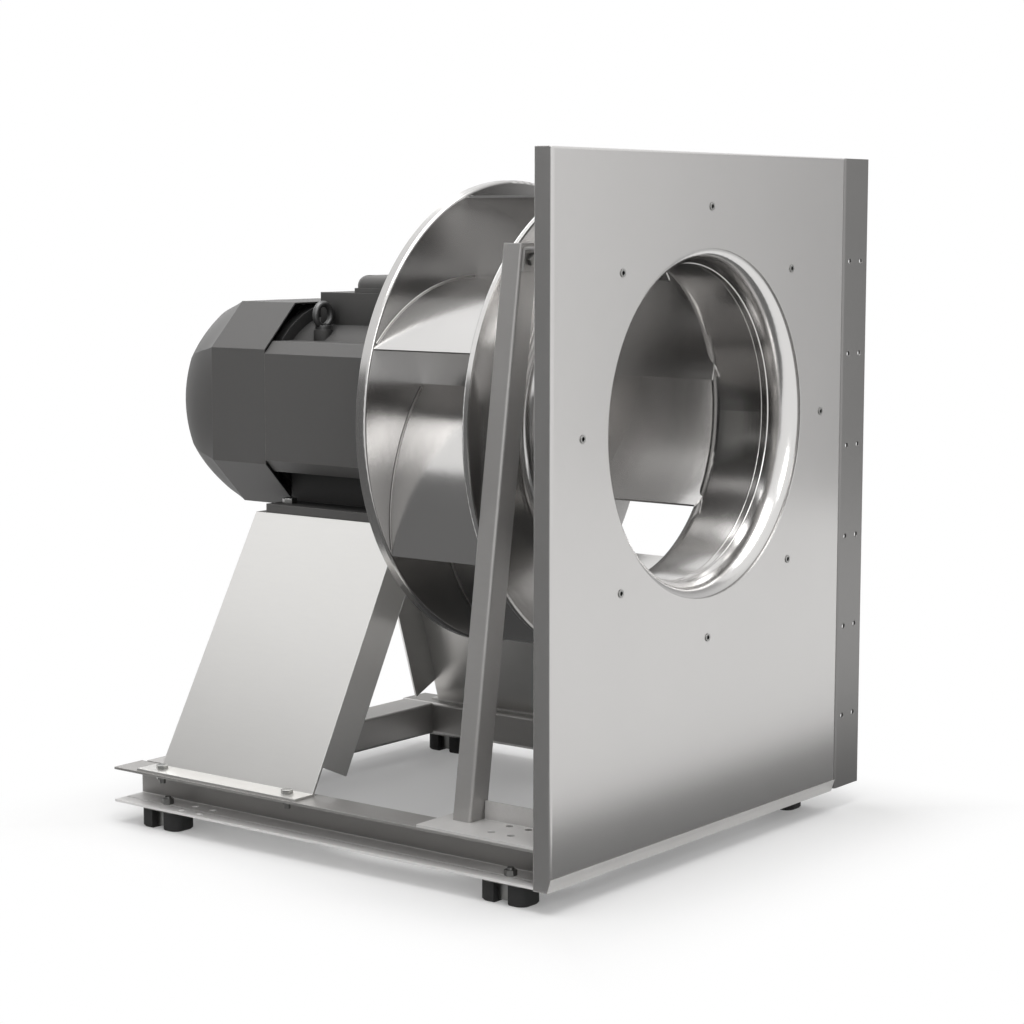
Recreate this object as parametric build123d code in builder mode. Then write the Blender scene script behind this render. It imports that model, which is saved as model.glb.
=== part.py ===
from build123d import *
import math
import os

# Direct-drive plug fan on a base frame. Millimetres.
# The origin is the centre of the inlet on the front plate's outer face, on the shaft axis.
# X is to the right seen from the front, Y runs back towards the motor, Z is up.

os.makedirs("parts", exist_ok=True)

# Sheet metal
sheet = 3.0                  # plate, rails, pedestal and brackets
bend_r = 4.0                 # outer radius of a fold

# Front plate, measured from the shaft axis
plate_left = 303.7
plate_right = 298.3
plate_top = 308.7
plate_face_bottom = 471.0    # where the face ends and the drip lip starts
plate_bottom = 486.6
plate_lip_back = 5.0         # how far the drip lip leans back
plate_return = 23.0          # depth of the folded returns
opening_r = 201.0

# Side strip on the plate's right edge
strip_width = 57.6
strip_leg = 30.0
strip_top_step = 0.4
strip_bottom_step = 3.2
strip_hole_r = 3.5
strip_column = 15.7          # from the strip's inner edge to the first column of holes
strip_column_pitch = 26.8
strip_rows = 6
strip_row_pitch = 114.7
strip_first_row = 182.3      # height of the top row above the axis
strip_bolt_count = 4
strip_bolt_pitch = 190.0
strip_bolt_r = 3.0
strip_bolt_length = 10.0
strip_bolt_y = 15.0

# Inlet nozzle
throat_r = 184.0
flare_depth = 33.0
nozzle_depth = 42.0
nozzle_wall = 2.0
nozzle_flange_r = 262.0
insert_circle_r = 248.0
insert_count = 8
insert_bore_r = 2.5
insert_barrel_r = 3.5
insert_head_r = 4.5
insert_head = 1.0
insert_length = 11.0

# Impeller
tip_r = 280.0
blade_tip_r = 277.8
blade_root_r = 182.0
blade_count = 7
blade_sweep = 47.0           # degrees that a blade turns from its leading to its trailing edge
blade_first = 213.0          # degrees of the first trailing edge, anticlockwise from +X
blade_sheet = 2.5
blade_sagitta = 22.5
blade_front_y = 112.0        # front end of the leading edge
eye_gap = 3.0                # radial clearance between the nozzle and the shroud's eye
eye_overlap = 8.0            # how far the nozzle reaches into the eye
shroud_knee_y = 125.0
shroud_knee_r = 20.0
shroud_rim_y = 142.0
shroud_sheet = 3.0
shroud_lip = 9.0
rim_bend_r = 3.5
outlet_width = 139.0
back_sheet = 3.0
back_lip = 13.0
back_bore_r = 26.0

# Hub and taper bush
hub_flange_r = 72.0
hub_flange = 10.0
hub_boss_r = 43.0
hub_length = 71.0
hub_bolt_circle_r = 58.0
hub_bolt_count = 6
hub_bolt_r = 4.0
bush_front_r = 33.0
bush_rear_r = 29.0
bush_length = 44.0
bush_screw_r = 3.0
bush_screw_circle_r = 26.0
bush_slit = 2.0
hub_chamfer = 2.0
end_washer_r = 27.0
end_washer = 5.0

# Motor, foot mounted, shaft height 132
shaft_height = 132.0
shaft_r = 19.0
shaft_end = 80.0
shaft_step = 6.0             # from the back plate's rear face to the shaft's shoulder
key_width = 10.0
key_height = 8.0
key_length = 60.0
foot_hole_from_shoulder = 89.0
foot_hole_pitch_x = 216.0
foot_hole_r = 6.0
foot_half_width = 132.7
foot_thickness = 11.0
foot_margin = 17.0           # from a foot hole to the foot's end
foot_rear_inset = 4.0        # from the frame's rear end to the feet's
foot_inner_x = 66.0
foot_web = 20.0
frame_half = 129.0
frame_flat_half = 67.0       # half the height of the side flats
frame_chamfer = 15.0
frame_core_r = 112.0
frame_bore_r = 105.0
frame_start = 32.0           # from the shaft's shoulder to the frame's front end
frame_length = 256.0
shield_wall = 8.0
shield_spigot = 10.0
shield_play = 2.0            # round the shaft
shield_bolt_r = 3.0
shield_bolt_count = 4
shield_bolt_depth = 14.0
cowl_seat = 12.0             # length of the rim that the cowl sits on
cowl_flat_half = 72.0
cowl_flat_length = 92.0      # length of the cowl's eight flats
cowl_dome = 110.0            # depth that the dome would have without its flat end
cowl_fullness = 2.3          # 2 is an ellipse, more is fuller
cowl_steps = 5               # sections that shape the dome
cowl_end_angle = 60.0        # degrees up the dome where the flat end starts
cowl_wall = 2.0
grille_slots = 16
grille_slot_width = 6.0
grille_inner_r = 22.0
grille_outer_r = 60.0

# Motor bearings, 40 x 90 x 23
bearing_bore_r = 20.0
bearing_outer_r = 45.0
bearing_width = 23.0
bearing_ball_r = 7.5
bearing_pitch_r = 32.5
bearing_balls_each = 7
bearing_land = 6.5           # half the radial gap between the two rings
ball_clearance = 0.08
cage_half = 5.0              # half the cage's width across the pitch circle
cage_reach = 10.5            # half the cage's length along the shaft
front_bearing_step = 10.0    # from the shoulder to the front bearing
rear_bearing_inset = 26.0    # from the rear bearing to the frame's rear end

# Stator and rotor cores
stator_bore_r = 67.2
core_front_inset = 52.0      # from the frame's front end to the cores
core_rear_inset = 74.0
air_gap = 0.6
winding_length = 26.0
winding_outer_r = 94.0
rotor_seat_r = 24.0
cooling_fan_gap = 22.0       # from the frame's rear end to the cooling fan
cooling_fan_r = 102.0
cooling_fan_blades = 9
cooling_fan_blade = 30.0
cooling_fan_seat_r = 16.0
cooling_fan_disc = 4.0
shaft_tail = 60.0            # how far the shaft stands out behind the frame
shaft_chamfer = 1.5
end_ring = 10.0
end_ring_step = 3.0          # from the rotor's outer surface to the end ring
end_ring_width = 15.0
winding_gap = 4.0            # between the winding heads and the stator's bore
winding_round = 6.0
cooling_fan_hub = 9.0
cooling_fan_sheet = 3.0

# Terminal box, lifting eye
box_half_width = 48.0
pad_top = 142.0
pad_front_inset = 58.0       # from the frame's front end to the pad
pad_rear_inset = 22.0
box_front_inset = 68.0
box_length = 111.0
box_height = 6.0
box_wall = 4.0
lid_height = 16.0
lid_round = 13.0
lid_corner_r = 14.0
lid_screw_inset = 17.0       # from the box's outer faces
lid_screw_sink = 6.0
lid_boss_r = 7.5
gland_r = 12.0
gland_nose_r = 9.8
gland_chamfer = 1.5
gland_bore_r = 6.0
gland_thread_r = 8.0
gland_thread = 24.0
gland_length = 22.0
gland_z = 118.0
board_width = 44.0
board_depth = 20.0
board_height = 5.0
stud_height = 5.0
eye_x = -68.0
eye_inset = 44.0             # from the lifting eye to the frame's rear end
eye_ring_r = 14.0
eye_wire_r = 4.0
eye_collar_r = 10.0
eye_collar = 5.0
eye_boss_rim = 2.0
eye_pad_z = 96.0
eye_thread_r = 4.0
eye_thread = 16.0

# Base frame
rail_bottom = 485.1          # below the axis
rail_height = 43.9
rail_flange = 50.0
rail_end_y = 675.0
rail_groove_width = 2.0
rail_groove_depth = 0.8
cross_rear_y = 619.0
cross_flange = 50.0
corner_width = 67.7
corner_end_y = 187.0
corner_upstand = 24.6
corner_hole_r = 4.5
corner_hole_x = 25.0         # from the outer edge to the first hole
corner_hole_pitch_x = 32.5
corner_hole_y = 72.5
corner_hole_pitch_y = 27.0
spare_hole_y = 538.0
spare_hole_pitch_y = 30.0
spare_hole_x = 9.0
spare_hole_pitch_x = 24.0
spare_hole_r = 4.5
rail_groove_x = 19.5         # from the rail's outer edge

# Struts
strut_leg = 30.0             # width of the front leg
strut_side_leg = 24.0        # depth of the outer leg, which clears the turning rim
strut_edge = 40.7            # from the rail's outer edge to the strut's ridge
strut_top = 207.8
strut_top_y = 70.7
strut_foot_y = 143.0
top_bracket_height = 26.0
bracket_step = 4.0           # below the strut's top
bracket_width = 24.0

# Pedestal
pedestal_top_x = 134.0
pedestal_bottom_x = 270.3
pedestal_flange_in = 50.0
pedestal_margin_front = 10.0
pedestal_margin_rear = 16.0
pedestal_bottom_front_y = 374.0
pedestal_bottom_rear_y = 625.0
pedestal_side_flange = 48.0
pedestal_side_stop = 31.0    # height above the rail where the side flanges stop
pedestal_edge = 2.4          # from the foot flange to the rail's outer edge
pedestal_foot_rear = 12.0
pedestal_bolt_x = 13.5       # from the fold to the bolts
pedestal_bolt_front = 28.0
pedestal_bolt_rear = 14.0
tie_width = 60.0
tie_depth = 22.0
tie_y = 468.0
tie_half_length = 120.0

# Anti-vibration feet
isolator_height = 26.0
isolator_length = 64.0
isolator_width = 36.0
isolator_column = 20.0
isolator_lift = 3.0          # the metal stops this far above the floor
isolator_front_y = 72.0
isolator_rear_y = 606.0
isolator_edge = 24.0         # from the rail's outer edge to the bolt
isolator_round = 12.0
isolator_thread = 14.0
isolator_chamfer = 2.0

# Fasteners
bolt_small_r = 4.0
bolt_large_r = 5.0
end_bolt_length = 30.0
bolt_small_length = 18.0
bolt_large_length = 26.0
isolator_bolt_stand = 12.0   # how far the bolt stands above the rail's underside
screw_r = 2.5
screw_length = 12.0

# Proportions of the fasteners, as shares of the thread's radius
hex_half_width = 1.62        # half the width across the flats of a head or nut
head_height = 1.25
head_chamfer = 0.12
nut_height = 1.6
button_r = 1.8
button_height = 0.9
button_round = 0.6
socket_r = 0.7
socket_depth = 0.5
cover_screw_turns = (0, 90, 270)     # right, top and bottom flats; the left flat is bare

# Places worked out from the sizes above
nozzle_end_y = sheet + nozzle_depth
eye_r = throat_r + nozzle_wall + eye_gap
eye_front_y = nozzle_end_y - eye_overlap
back_y = shroud_rim_y + outlet_width
back_rear_y = back_y + back_sheet
shoulder_y = back_rear_y + shaft_step
shaft_tip_y = shoulder_y - shaft_end
frame_front_y = shoulder_y + frame_start
frame_rear_y = frame_front_y + frame_length
cowl_flats_y = frame_rear_y + cowl_flat_length
foot_hole_front_y = shoulder_y + foot_hole_from_shoulder
foot_front_y = foot_hole_front_y - foot_margin
foot_rear_y = frame_rear_y - foot_rear_inset
foot_hole_rear_y = foot_rear_y - foot_margin
foot_hole_pitch_y = foot_hole_rear_y - foot_hole_front_y
front_bearing_y = shoulder_y + front_bearing_step
rear_bearing_y = frame_rear_y - rear_bearing_inset
core_y = frame_front_y + core_front_inset
core_length = frame_length - core_front_inset - core_rear_inset
pad_length = frame_length - pad_front_inset - pad_rear_inset
rail_z = -rail_bottom
rail_top_z = rail_z + rail_height
corner_top_z = rail_top_z + sheet
floor_z = rail_z - isolator_height
web_left_x = -plate_left + rail_flange
web_right_x = plate_right - rail_flange
shield_hub_r = bearing_outer_r + shield_wall
shield_front_y = front_bearing_y - shield_wall / 2
shield_rim_r = frame_core_r + shield_wall / 2
shield_bolt_circle_r = (frame_bore_r + frame_core_r) / 2
lid_screw_x = 2 * (box_half_width - lid_screw_inset)
lid_screw_y = box_length - 2 * lid_screw_inset
pedestal_bolt_front_y = pedestal_bottom_front_y + pedestal_bolt_front
pedestal_bolt_rear_y = pedestal_bottom_rear_y - pedestal_bolt_rear


def across(y):
    """Plane across the shaft axis at depth y. It reads X and Z, and its normal points forwards."""
    return Plane.XZ.offset(-y)


def facing_back(y):
    """Plane across the shaft axis at depth y with its normal pointing backwards."""
    return Plane(origin=(0, y, 0), x_dir=(1, 0, 0), z_dir=(0, 1, 0))


def cowl_screw_plane(turn):
    """Plane on the cowl's outer flat, turned round the shaft axis, over the rear shield's rim."""
    out = Vector(math.cos(math.radians(turn)), 0, math.sin(math.radians(turn)))
    return Plane(origin=out * frame_half + Vector(0, frame_rear_y + cowl_seat / 2, 0), z_dir=out)


def hex_bolt(radius, length):
    """Hexagon bolt along Z: the seat of its head is at z = 0 and its shank runs down."""
    with BuildPart() as bolt:
        with BuildSketch():
            RegularPolygon(radius=radius * hex_half_width, side_count=6, major_radius=False)
        extrude(amount=radius * head_height)
        chamfer(bolt.edges().group_by(Axis.Z)[-1], length=radius * head_chamfer)
        with BuildSketch():
            Circle(radius)
        extrude(amount=-length)
    return bolt.part


def hex_nut(radius):
    """Hexagon nut along Z with its seat at z = 0, below the plane, fitted over a shank."""
    with BuildPart() as nut:
        with BuildSketch():
            RegularPolygon(radius=radius * hex_half_width, side_count=6, major_radius=False)
            Circle(radius, mode=Mode.SUBTRACT)
        extrude(amount=-radius * nut_height)
    return nut.part


def socket_screw(radius, length):
    """Low button-head screw with a hexagon socket, seat at z = 0 and shank downwards."""
    with BuildPart() as screw:
        with BuildSketch():
            Circle(radius * button_r)
        extrude(amount=radius * button_height)
        fillet(screw.edges().group_by(Axis.Z)[-1], radius=radius * button_round)
        with BuildSketch(Plane.XY.offset(radius * button_height)):
            RegularPolygon(radius=radius * socket_r, side_count=6)
        extrude(amount=-radius * socket_depth, mode=Mode.SUBTRACT)
        with BuildSketch():
            Circle(radius)
        extrude(amount=-length)
    return screw.part


def save(solid, name):
    """Label a finished piece and write it out."""
    solid.label = name
    export_step(solid, f"parts/{name}.step")


strip_height = plate_top - strip_top_step + plate_bottom - strip_bottom_step
strip_mid_z = (plate_top - strip_top_step - plate_bottom + strip_bottom_step) / 2

# Front plate: a folded tray, open at the back, with a drip lip along the bottom
with BuildPart() as front_plate:
    with BuildSketch(Plane.YZ.offset(-plate_left)):
        with BuildLine():
            Polyline(
                (0, plate_top),
                (0, -plate_face_bottom),
                (plate_lip_back, -plate_bottom),
                (plate_return, -plate_bottom),
                (plate_return, plate_top),
                close=True,
            )
        make_face()
    extrude(amount=plate_left + plate_right)
    face_edges = front_plate.faces().sort_by(Axis.Y)[0].edges()
    bends = face_edges.filter_by(Axis.Z) + face_edges.sort_by(Axis.Z)[-1:]
    fillet(bends, radius=bend_r)
    offset(amount=-sheet, openings=front_plate.faces().sort_by(Axis.Y)[-1])
    with BuildSketch(across(0)):
        Circle(opening_r)
        with PolarLocations(insert_circle_r, insert_count):
            Circle(insert_barrel_r)
    extrude(amount=-sheet * 2, mode=Mode.SUBTRACT)
    with BuildSketch(Plane.YZ.offset(plate_right)):
        with Locations((strip_bolt_y, strip_mid_z)):
            with GridLocations(strip_bolt_pitch, strip_bolt_pitch, 1, strip_bolt_count):
                Circle(strip_bolt_r)
    extrude(amount=-sheet, mode=Mode.SUBTRACT)
save(front_plate.part, "front_plate")

# Side strip: an angle on the plate's right return, with two columns of holes
hole_rows_mid_z = strip_first_row - strip_row_pitch * (strip_rows - 1) / 2
with BuildPart() as side_strip:
    with BuildSketch(Plane.XY.offset(strip_mid_z)):
        with BuildLine():
            FilletPolyline(
                (plate_right + strip_width, 0),
                (plate_right, 0),
                (plate_right, strip_leg),
                radius=bend_r,
            )
            offset(amount=sheet, side=Side.RIGHT)
        make_face()
    extrude(amount=strip_height / 2, both=True)
    with BuildSketch(across(0)):
        column_x = plate_right + strip_column + strip_column_pitch / 2
        with Locations((column_x, hole_rows_mid_z)):
            with GridLocations(strip_column_pitch, strip_row_pitch, 2, strip_rows):
                Circle(strip_hole_r)
    extrude(amount=-sheet * 3, mode=Mode.SUBTRACT)
    with BuildSketch(Plane.YZ.offset(plate_right)):
        with Locations((strip_bolt_y, strip_mid_z)):
            with GridLocations(strip_bolt_pitch, strip_bolt_pitch, 1, strip_bolt_count):
                Circle(strip_bolt_r)
    extrude(amount=sheet, mode=Mode.SUBTRACT)
save(side_strip.part, "side_strip")

# Inlet nozzle: a flat ring behind the plate, a bell mouth and a short throat
with BuildPart() as inlet_nozzle:
    with BuildSketch():
        with BuildLine():
            for wall in (0, nozzle_wall):
                EllipticalCenterArc(
                    (opening_r, sheet + flare_depth),
                    opening_r - throat_r - wall,
                    flare_depth - wall,
                    start_angle=180,
                    arc_size=90,
                )
            Polyline(
                (opening_r, sheet),
                (nozzle_flange_r, sheet),
                (nozzle_flange_r, sheet + nozzle_wall),
                (opening_r, sheet + nozzle_wall),
            )
            Polyline(
                (throat_r, sheet + flare_depth),
                (throat_r, nozzle_end_y),
                (throat_r + nozzle_wall, nozzle_end_y),
                (throat_r + nozzle_wall, sheet + flare_depth),
            )
        make_face()
    revolve(axis=Axis.Y)
    with BuildSketch(across(0)):
        with PolarLocations(insert_circle_r, insert_count):
            Circle(insert_barrel_r)
    extrude(amount=-sheet * 3, mode=Mode.SUBTRACT)
save(inlet_nozzle.part, "inlet_nozzle")

# Threaded inserts that clamp the nozzle's ring to the plate
with BuildPart() as nozzle_inserts:
    with BuildSketch(across(0)):
        with PolarLocations(insert_circle_r, insert_count):
            Circle(insert_head_r)
    extrude(amount=insert_head)
    with BuildSketch(across(0)):
        with PolarLocations(insert_circle_r, insert_count):
            Circle(insert_barrel_r)
    extrude(amount=-insert_length)
    with BuildSketch(across(-insert_head)):
        with PolarLocations(insert_circle_r, insert_count):
            Circle(insert_bore_r)
    extrude(amount=-(insert_length + insert_head), mode=Mode.SUBTRACT)
save(nozzle_inserts.part, "nozzle_inserts")

# Impeller shroud: eye, knee, nearly flat annulus and a lip turned forwards at the rim
with BuildPart() as impeller_shroud:
    with BuildSketch():
        with BuildLine():
            FilletPolyline(
                (eye_r, eye_front_y),
                (eye_r, shroud_knee_y),
                (tip_r, shroud_rim_y),
                (tip_r, shroud_rim_y - shroud_lip),
                radius=[shroud_knee_r, rim_bend_r],
            )
            offset(amount=shroud_sheet, side=Side.RIGHT)
        make_face()
    revolve(axis=Axis.Y)
save(impeller_shroud.part, "impeller_shroud")

# Impeller back plate: a flat disc with a lip turned backwards
with BuildPart() as impeller_back_plate:
    with BuildSketch():
        with BuildLine():
            FilletPolyline(
                (back_bore_r, back_y),
                (tip_r, back_y),
                (tip_r, back_y + back_lip),
                radius=rim_bend_r,
            )
            offset(amount=back_sheet, side=Side.LEFT)
        make_face()
    revolve(axis=Axis.Y)
    with BuildSketch(across(back_y)):
        with PolarLocations(hub_bolt_circle_r, hub_bolt_count):
            Circle(hub_bolt_r)
    extrude(amount=-back_sheet, mode=Mode.SUBTRACT)
save(impeller_back_plate.part, "impeller_back_plate")


# Blades: curved sheets between the back plate and the shroud's inner surface
root_angle = math.radians(blade_first - blade_sweep)
tip_angle = math.radians(blade_first)
with BuildPart() as blade:
    with BuildSketch(across(back_y)):
        with BuildLine():
            SagittaArc(
                (blade_root_r * math.cos(root_angle), blade_root_r * math.sin(root_angle)),
                (blade_tip_r * math.cos(tip_angle), blade_tip_r * math.sin(tip_angle)),
                -blade_sagitta,
            )
            offset(amount=blade_sheet, side=Side.LEFT)
        make_face()
    extrude(amount=back_y - blade_front_y)
    with BuildSketch():
        with BuildLine():
            wall = FilletPolyline(
                (eye_r, eye_front_y),
                (eye_r, shroud_knee_y),
                (tip_r, shroud_rim_y),
                radius=shroud_knee_r,
            )
            Polyline(wall @ 1, (tip_r, eye_front_y), wall @ 0)
        make_face()
    revolve(axis=Axis.Y, mode=Mode.SUBTRACT)
for number in range(blade_count):
    turned = blade.part.rotate(Axis.Y, -number * 360 / blade_count)
    save(turned, f"impeller_blade_{number + 1}")

# Hub: a flange on the back plate's front and a boss bored for the taper bush
hub_front_y = back_y - hub_length
with BuildPart() as impeller_hub:
    with BuildSketch():
        with BuildLine():
            Polyline(
                (shaft_r, back_y),
                (hub_flange_r, back_y),
                (hub_flange_r, back_y - hub_flange),
                (hub_boss_r, back_y - hub_flange),
                (hub_boss_r, hub_front_y),
                (bush_front_r, hub_front_y),
                (bush_rear_r, hub_front_y + bush_length),
                (shaft_r, hub_front_y + bush_length),
                close=True,
            )
        make_face()
    revolve(axis=Axis.Y)
    boss_edge = impeller_hub.edges().filter_by(GeomType.CIRCLE).group_by(Axis.Y)[0].sort_by(SortBy.RADIUS)[-1]
    chamfer(boss_edge, length=hub_chamfer)
    with BuildSketch(across(back_y)):
        with PolarLocations(hub_bolt_circle_r, hub_bolt_count):
            Circle(hub_bolt_r)
    extrude(amount=hub_flange, mode=Mode.SUBTRACT)
    with BuildSketch(across(back_y)):
        with Locations((0, shaft_r)):
            Rectangle(key_width, key_height)
    extrude(amount=hub_length, mode=Mode.SUBTRACT)
save(impeller_hub.part, "impeller_hub")

# Taper bush, split on one side and keyed on the other
with BuildPart() as taper_bush:
    with BuildSketch():
        with BuildLine():
            Polyline(
                (shaft_r, hub_front_y),
                (bush_front_r, hub_front_y),
                (bush_rear_r, hub_front_y + bush_length),
                (shaft_r, hub_front_y + bush_length),
                close=True,
            )
        make_face()
    revolve(axis=Axis.Y)
    with BuildSketch(across(hub_front_y)):
        with Locations((0, shaft_r)):
            Rectangle(key_width, key_height)
        with Locations((0, -bush_front_r)):
            Rectangle(bush_slit, bush_front_r)
    extrude(amount=-bush_length, mode=Mode.SUBTRACT)
    with BuildSketch(across(hub_front_y)):
        with PolarLocations(bush_screw_circle_r, 2):
            Circle(bush_screw_r)
    extrude(amount=-bush_length / 2, mode=Mode.SUBTRACT)
save(taper_bush.part, "taper_bush")

# Grub screws that draw the bush into the hub
with BuildPart() as bush_screws:
    with BuildSketch(across(hub_front_y)):
        with PolarLocations(bush_screw_circle_r, 2):
            Circle(bush_screw_r)
    extrude(amount=-bush_length / 2)
    with BuildSketch(across(hub_front_y)):
        with PolarLocations(bush_screw_circle_r, 2):
            RegularPolygon(radius=bush_screw_r * socket_r, side_count=6)
    extrude(amount=-bush_screw_r, mode=Mode.SUBTRACT)
save(bush_screws.part, "bush_screws")

# Hub bolts, heads on the hub's flange
with BuildPart(across(back_y - hub_flange)) as hub_bolts:
    with PolarLocations(hub_bolt_circle_r, hub_bolt_count):
        add(hex_bolt(hub_bolt_r, hub_flange + back_sheet))
save(hub_bolts.part, "hub_bolts")

# Washer and bolt on the shaft's end
with BuildPart() as shaft_end_washer:
    with BuildSketch(across(min(shaft_tip_y, hub_front_y))):
        Circle(end_washer_r)
        Circle(bolt_large_r, mode=Mode.SUBTRACT)
    extrude(amount=end_washer)
save(shaft_end_washer.part, "shaft_end_washer")

with BuildPart(across(min(shaft_tip_y, hub_front_y) - end_washer)) as shaft_end_bolt:
    with Locations((0, 0)):
        add(hex_bolt(bolt_large_r, end_bolt_length))
save(shaft_end_bolt.part, "shaft_end_bolt")

# Motor shaft: the end for the hub, two bearing seats, the rotor's seat and the fan's seat
shaft_tail_y = frame_rear_y + shaft_tail
front_seat_end_y = front_bearing_y + bearing_width
with BuildPart() as motor_shaft:
    with BuildSketch():
        with BuildLine():
            Polyline(
                (0, shaft_tip_y),
                (shaft_r, shaft_tip_y),
                (shaft_r, shoulder_y),
                (bearing_bore_r, shoulder_y),
                (bearing_bore_r, front_seat_end_y),
                (rotor_seat_r, front_seat_end_y),
                (rotor_seat_r, rear_bearing_y),
                (bearing_bore_r, rear_bearing_y),
                (bearing_bore_r, rear_bearing_y + bearing_width),
                (cooling_fan_seat_r, rear_bearing_y + bearing_width),
                (cooling_fan_seat_r, shaft_tail_y),
                (0, shaft_tail_y),
                close=True,
            )
        make_face()
    revolve(axis=Axis.Y)
    tail_edge = motor_shaft.edges().filter_by(GeomType.CIRCLE).group_by(Axis.Y)[-1]
    chamfer(tail_edge, length=shaft_chamfer)
    with BuildSketch(across(shaft_tip_y)):
        Circle(bolt_large_r)
    extrude(amount=-end_bolt_length, mode=Mode.SUBTRACT)
    with BuildSketch(across(shaft_tip_y + (shaft_end - key_length) / 2)):
        with Locations((0, shaft_r)):
            Rectangle(key_width, key_height)
    extrude(amount=-key_length, mode=Mode.SUBTRACT)
save(motor_shaft.part, "motor_shaft")

with BuildPart() as shaft_key:
    with BuildSketch(across(shaft_tip_y + (shaft_end - key_length) / 2)):
        with Locations((0, shaft_r)):
            Rectangle(key_width, key_height)
    extrude(amount=-key_length)
save(shaft_key.part, "shaft_key")

# Rotor core with its two end rings
rotor_r = stator_bore_r - air_gap
with BuildPart() as rotor_core:
    with BuildSketch(across(core_y)):
        Circle(rotor_r)
        Circle(rotor_seat_r, mode=Mode.SUBTRACT)
    extrude(amount=-core_length)
    for end_y in (core_y, core_y + core_length + end_ring):
        with BuildSketch(across(end_y)):
            Circle(rotor_r - end_ring_step)
            Circle(rotor_r - end_ring_step - end_ring_width, mode=Mode.SUBTRACT)
        extrude(amount=end_ring)
save(rotor_core.part, "rotor_core")

# Stator core pressed into the frame, and the winding heads at its ends
with BuildPart() as stator_core:
    with BuildSketch(across(core_y)):
        Circle(frame_bore_r)
        Circle(stator_bore_r, mode=Mode.SUBTRACT)
    extrude(amount=-core_length)
save(stator_core.part, "stator_core")

with BuildPart() as winding_heads:
    for end_y in (core_y, core_y + core_length + winding_length):
        with BuildSketch(across(end_y)):
            Circle(winding_outer_r)
            Circle(stator_bore_r + winding_gap, mode=Mode.SUBTRACT)
        extrude(amount=winding_length)
    fillet(winding_heads.edges().filter_by(GeomType.CIRCLE).group_by(Axis.Y)[0], radius=winding_round)
    fillet(winding_heads.edges().filter_by(GeomType.CIRCLE).group_by(Axis.Y)[-1], radius=winding_round)
save(winding_heads.part, "winding_heads")


def bearing_ring(inner_r, outer_r):
    """Both bearings' rings of one kind, each with the balls' groove."""
    with BuildPart() as ring:
        with BuildSketch():
            for bearing_y in (front_bearing_y, rear_bearing_y):
                with Locations(((inner_r + outer_r) / 2, bearing_y + bearing_width / 2)):
                    Rectangle(outer_r - inner_r, bearing_width)
                with Locations((bearing_pitch_r, bearing_y + bearing_width / 2)):
                    Circle(bearing_ball_r + ball_clearance, mode=Mode.SUBTRACT)
        revolve(axis=Axis.Y)
    return ring.part


save(bearing_ring(bearing_pitch_r + bearing_land, bearing_outer_r), "bearing_outer_rings")
save(bearing_ring(bearing_bore_r, bearing_pitch_r - bearing_land), "bearing_inner_rings")

# Balls of both bearings
ball_turns = [2 * math.pi * number / bearing_balls_each for number in range(bearing_balls_each)]
with BuildPart() as bearing_balls:
    for bearing_y in (front_bearing_y, rear_bearing_y):
        for turn in ball_turns:
            ball_x = bearing_pitch_r * math.cos(turn)
            ball_z = bearing_pitch_r * math.sin(turn)
            with Locations((ball_x, bearing_y + bearing_width / 2, ball_z)):
                Sphere(bearing_ball_r)
save(bearing_balls.part, "bearing_balls")

# Cages that space the balls: a ring in each bearing with a round pocket for every ball
with BuildPart() as bearing_cages:
    for bearing_y in (front_bearing_y, rear_bearing_y):
        with BuildSketch(across(bearing_y + bearing_width / 2 - cage_reach)):
            Circle(bearing_pitch_r + cage_half)
            Circle(bearing_pitch_r - cage_half, mode=Mode.SUBTRACT)
        extrude(amount=-2 * cage_reach)
        for turn in ball_turns:
            outward = Vector(math.cos(turn), 0, math.sin(turn))
            centre = outward * bearing_pitch_r + Vector(0, bearing_y + bearing_width / 2, 0)
            with BuildSketch(Plane(origin=centre, z_dir=outward)):
                Circle(bearing_ball_r + ball_clearance)
            extrude(amount=2 * cage_half, both=True, mode=Mode.SUBTRACT)
save(bearing_cages.part, "bearing_cages")

box_y = frame_front_y + box_front_inset + box_length / 2
gland_plane = Plane(origin=(box_half_width, box_y, gland_z), x_dir=(0, 1, 0), z_dir=(1, 0, 0))

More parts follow.
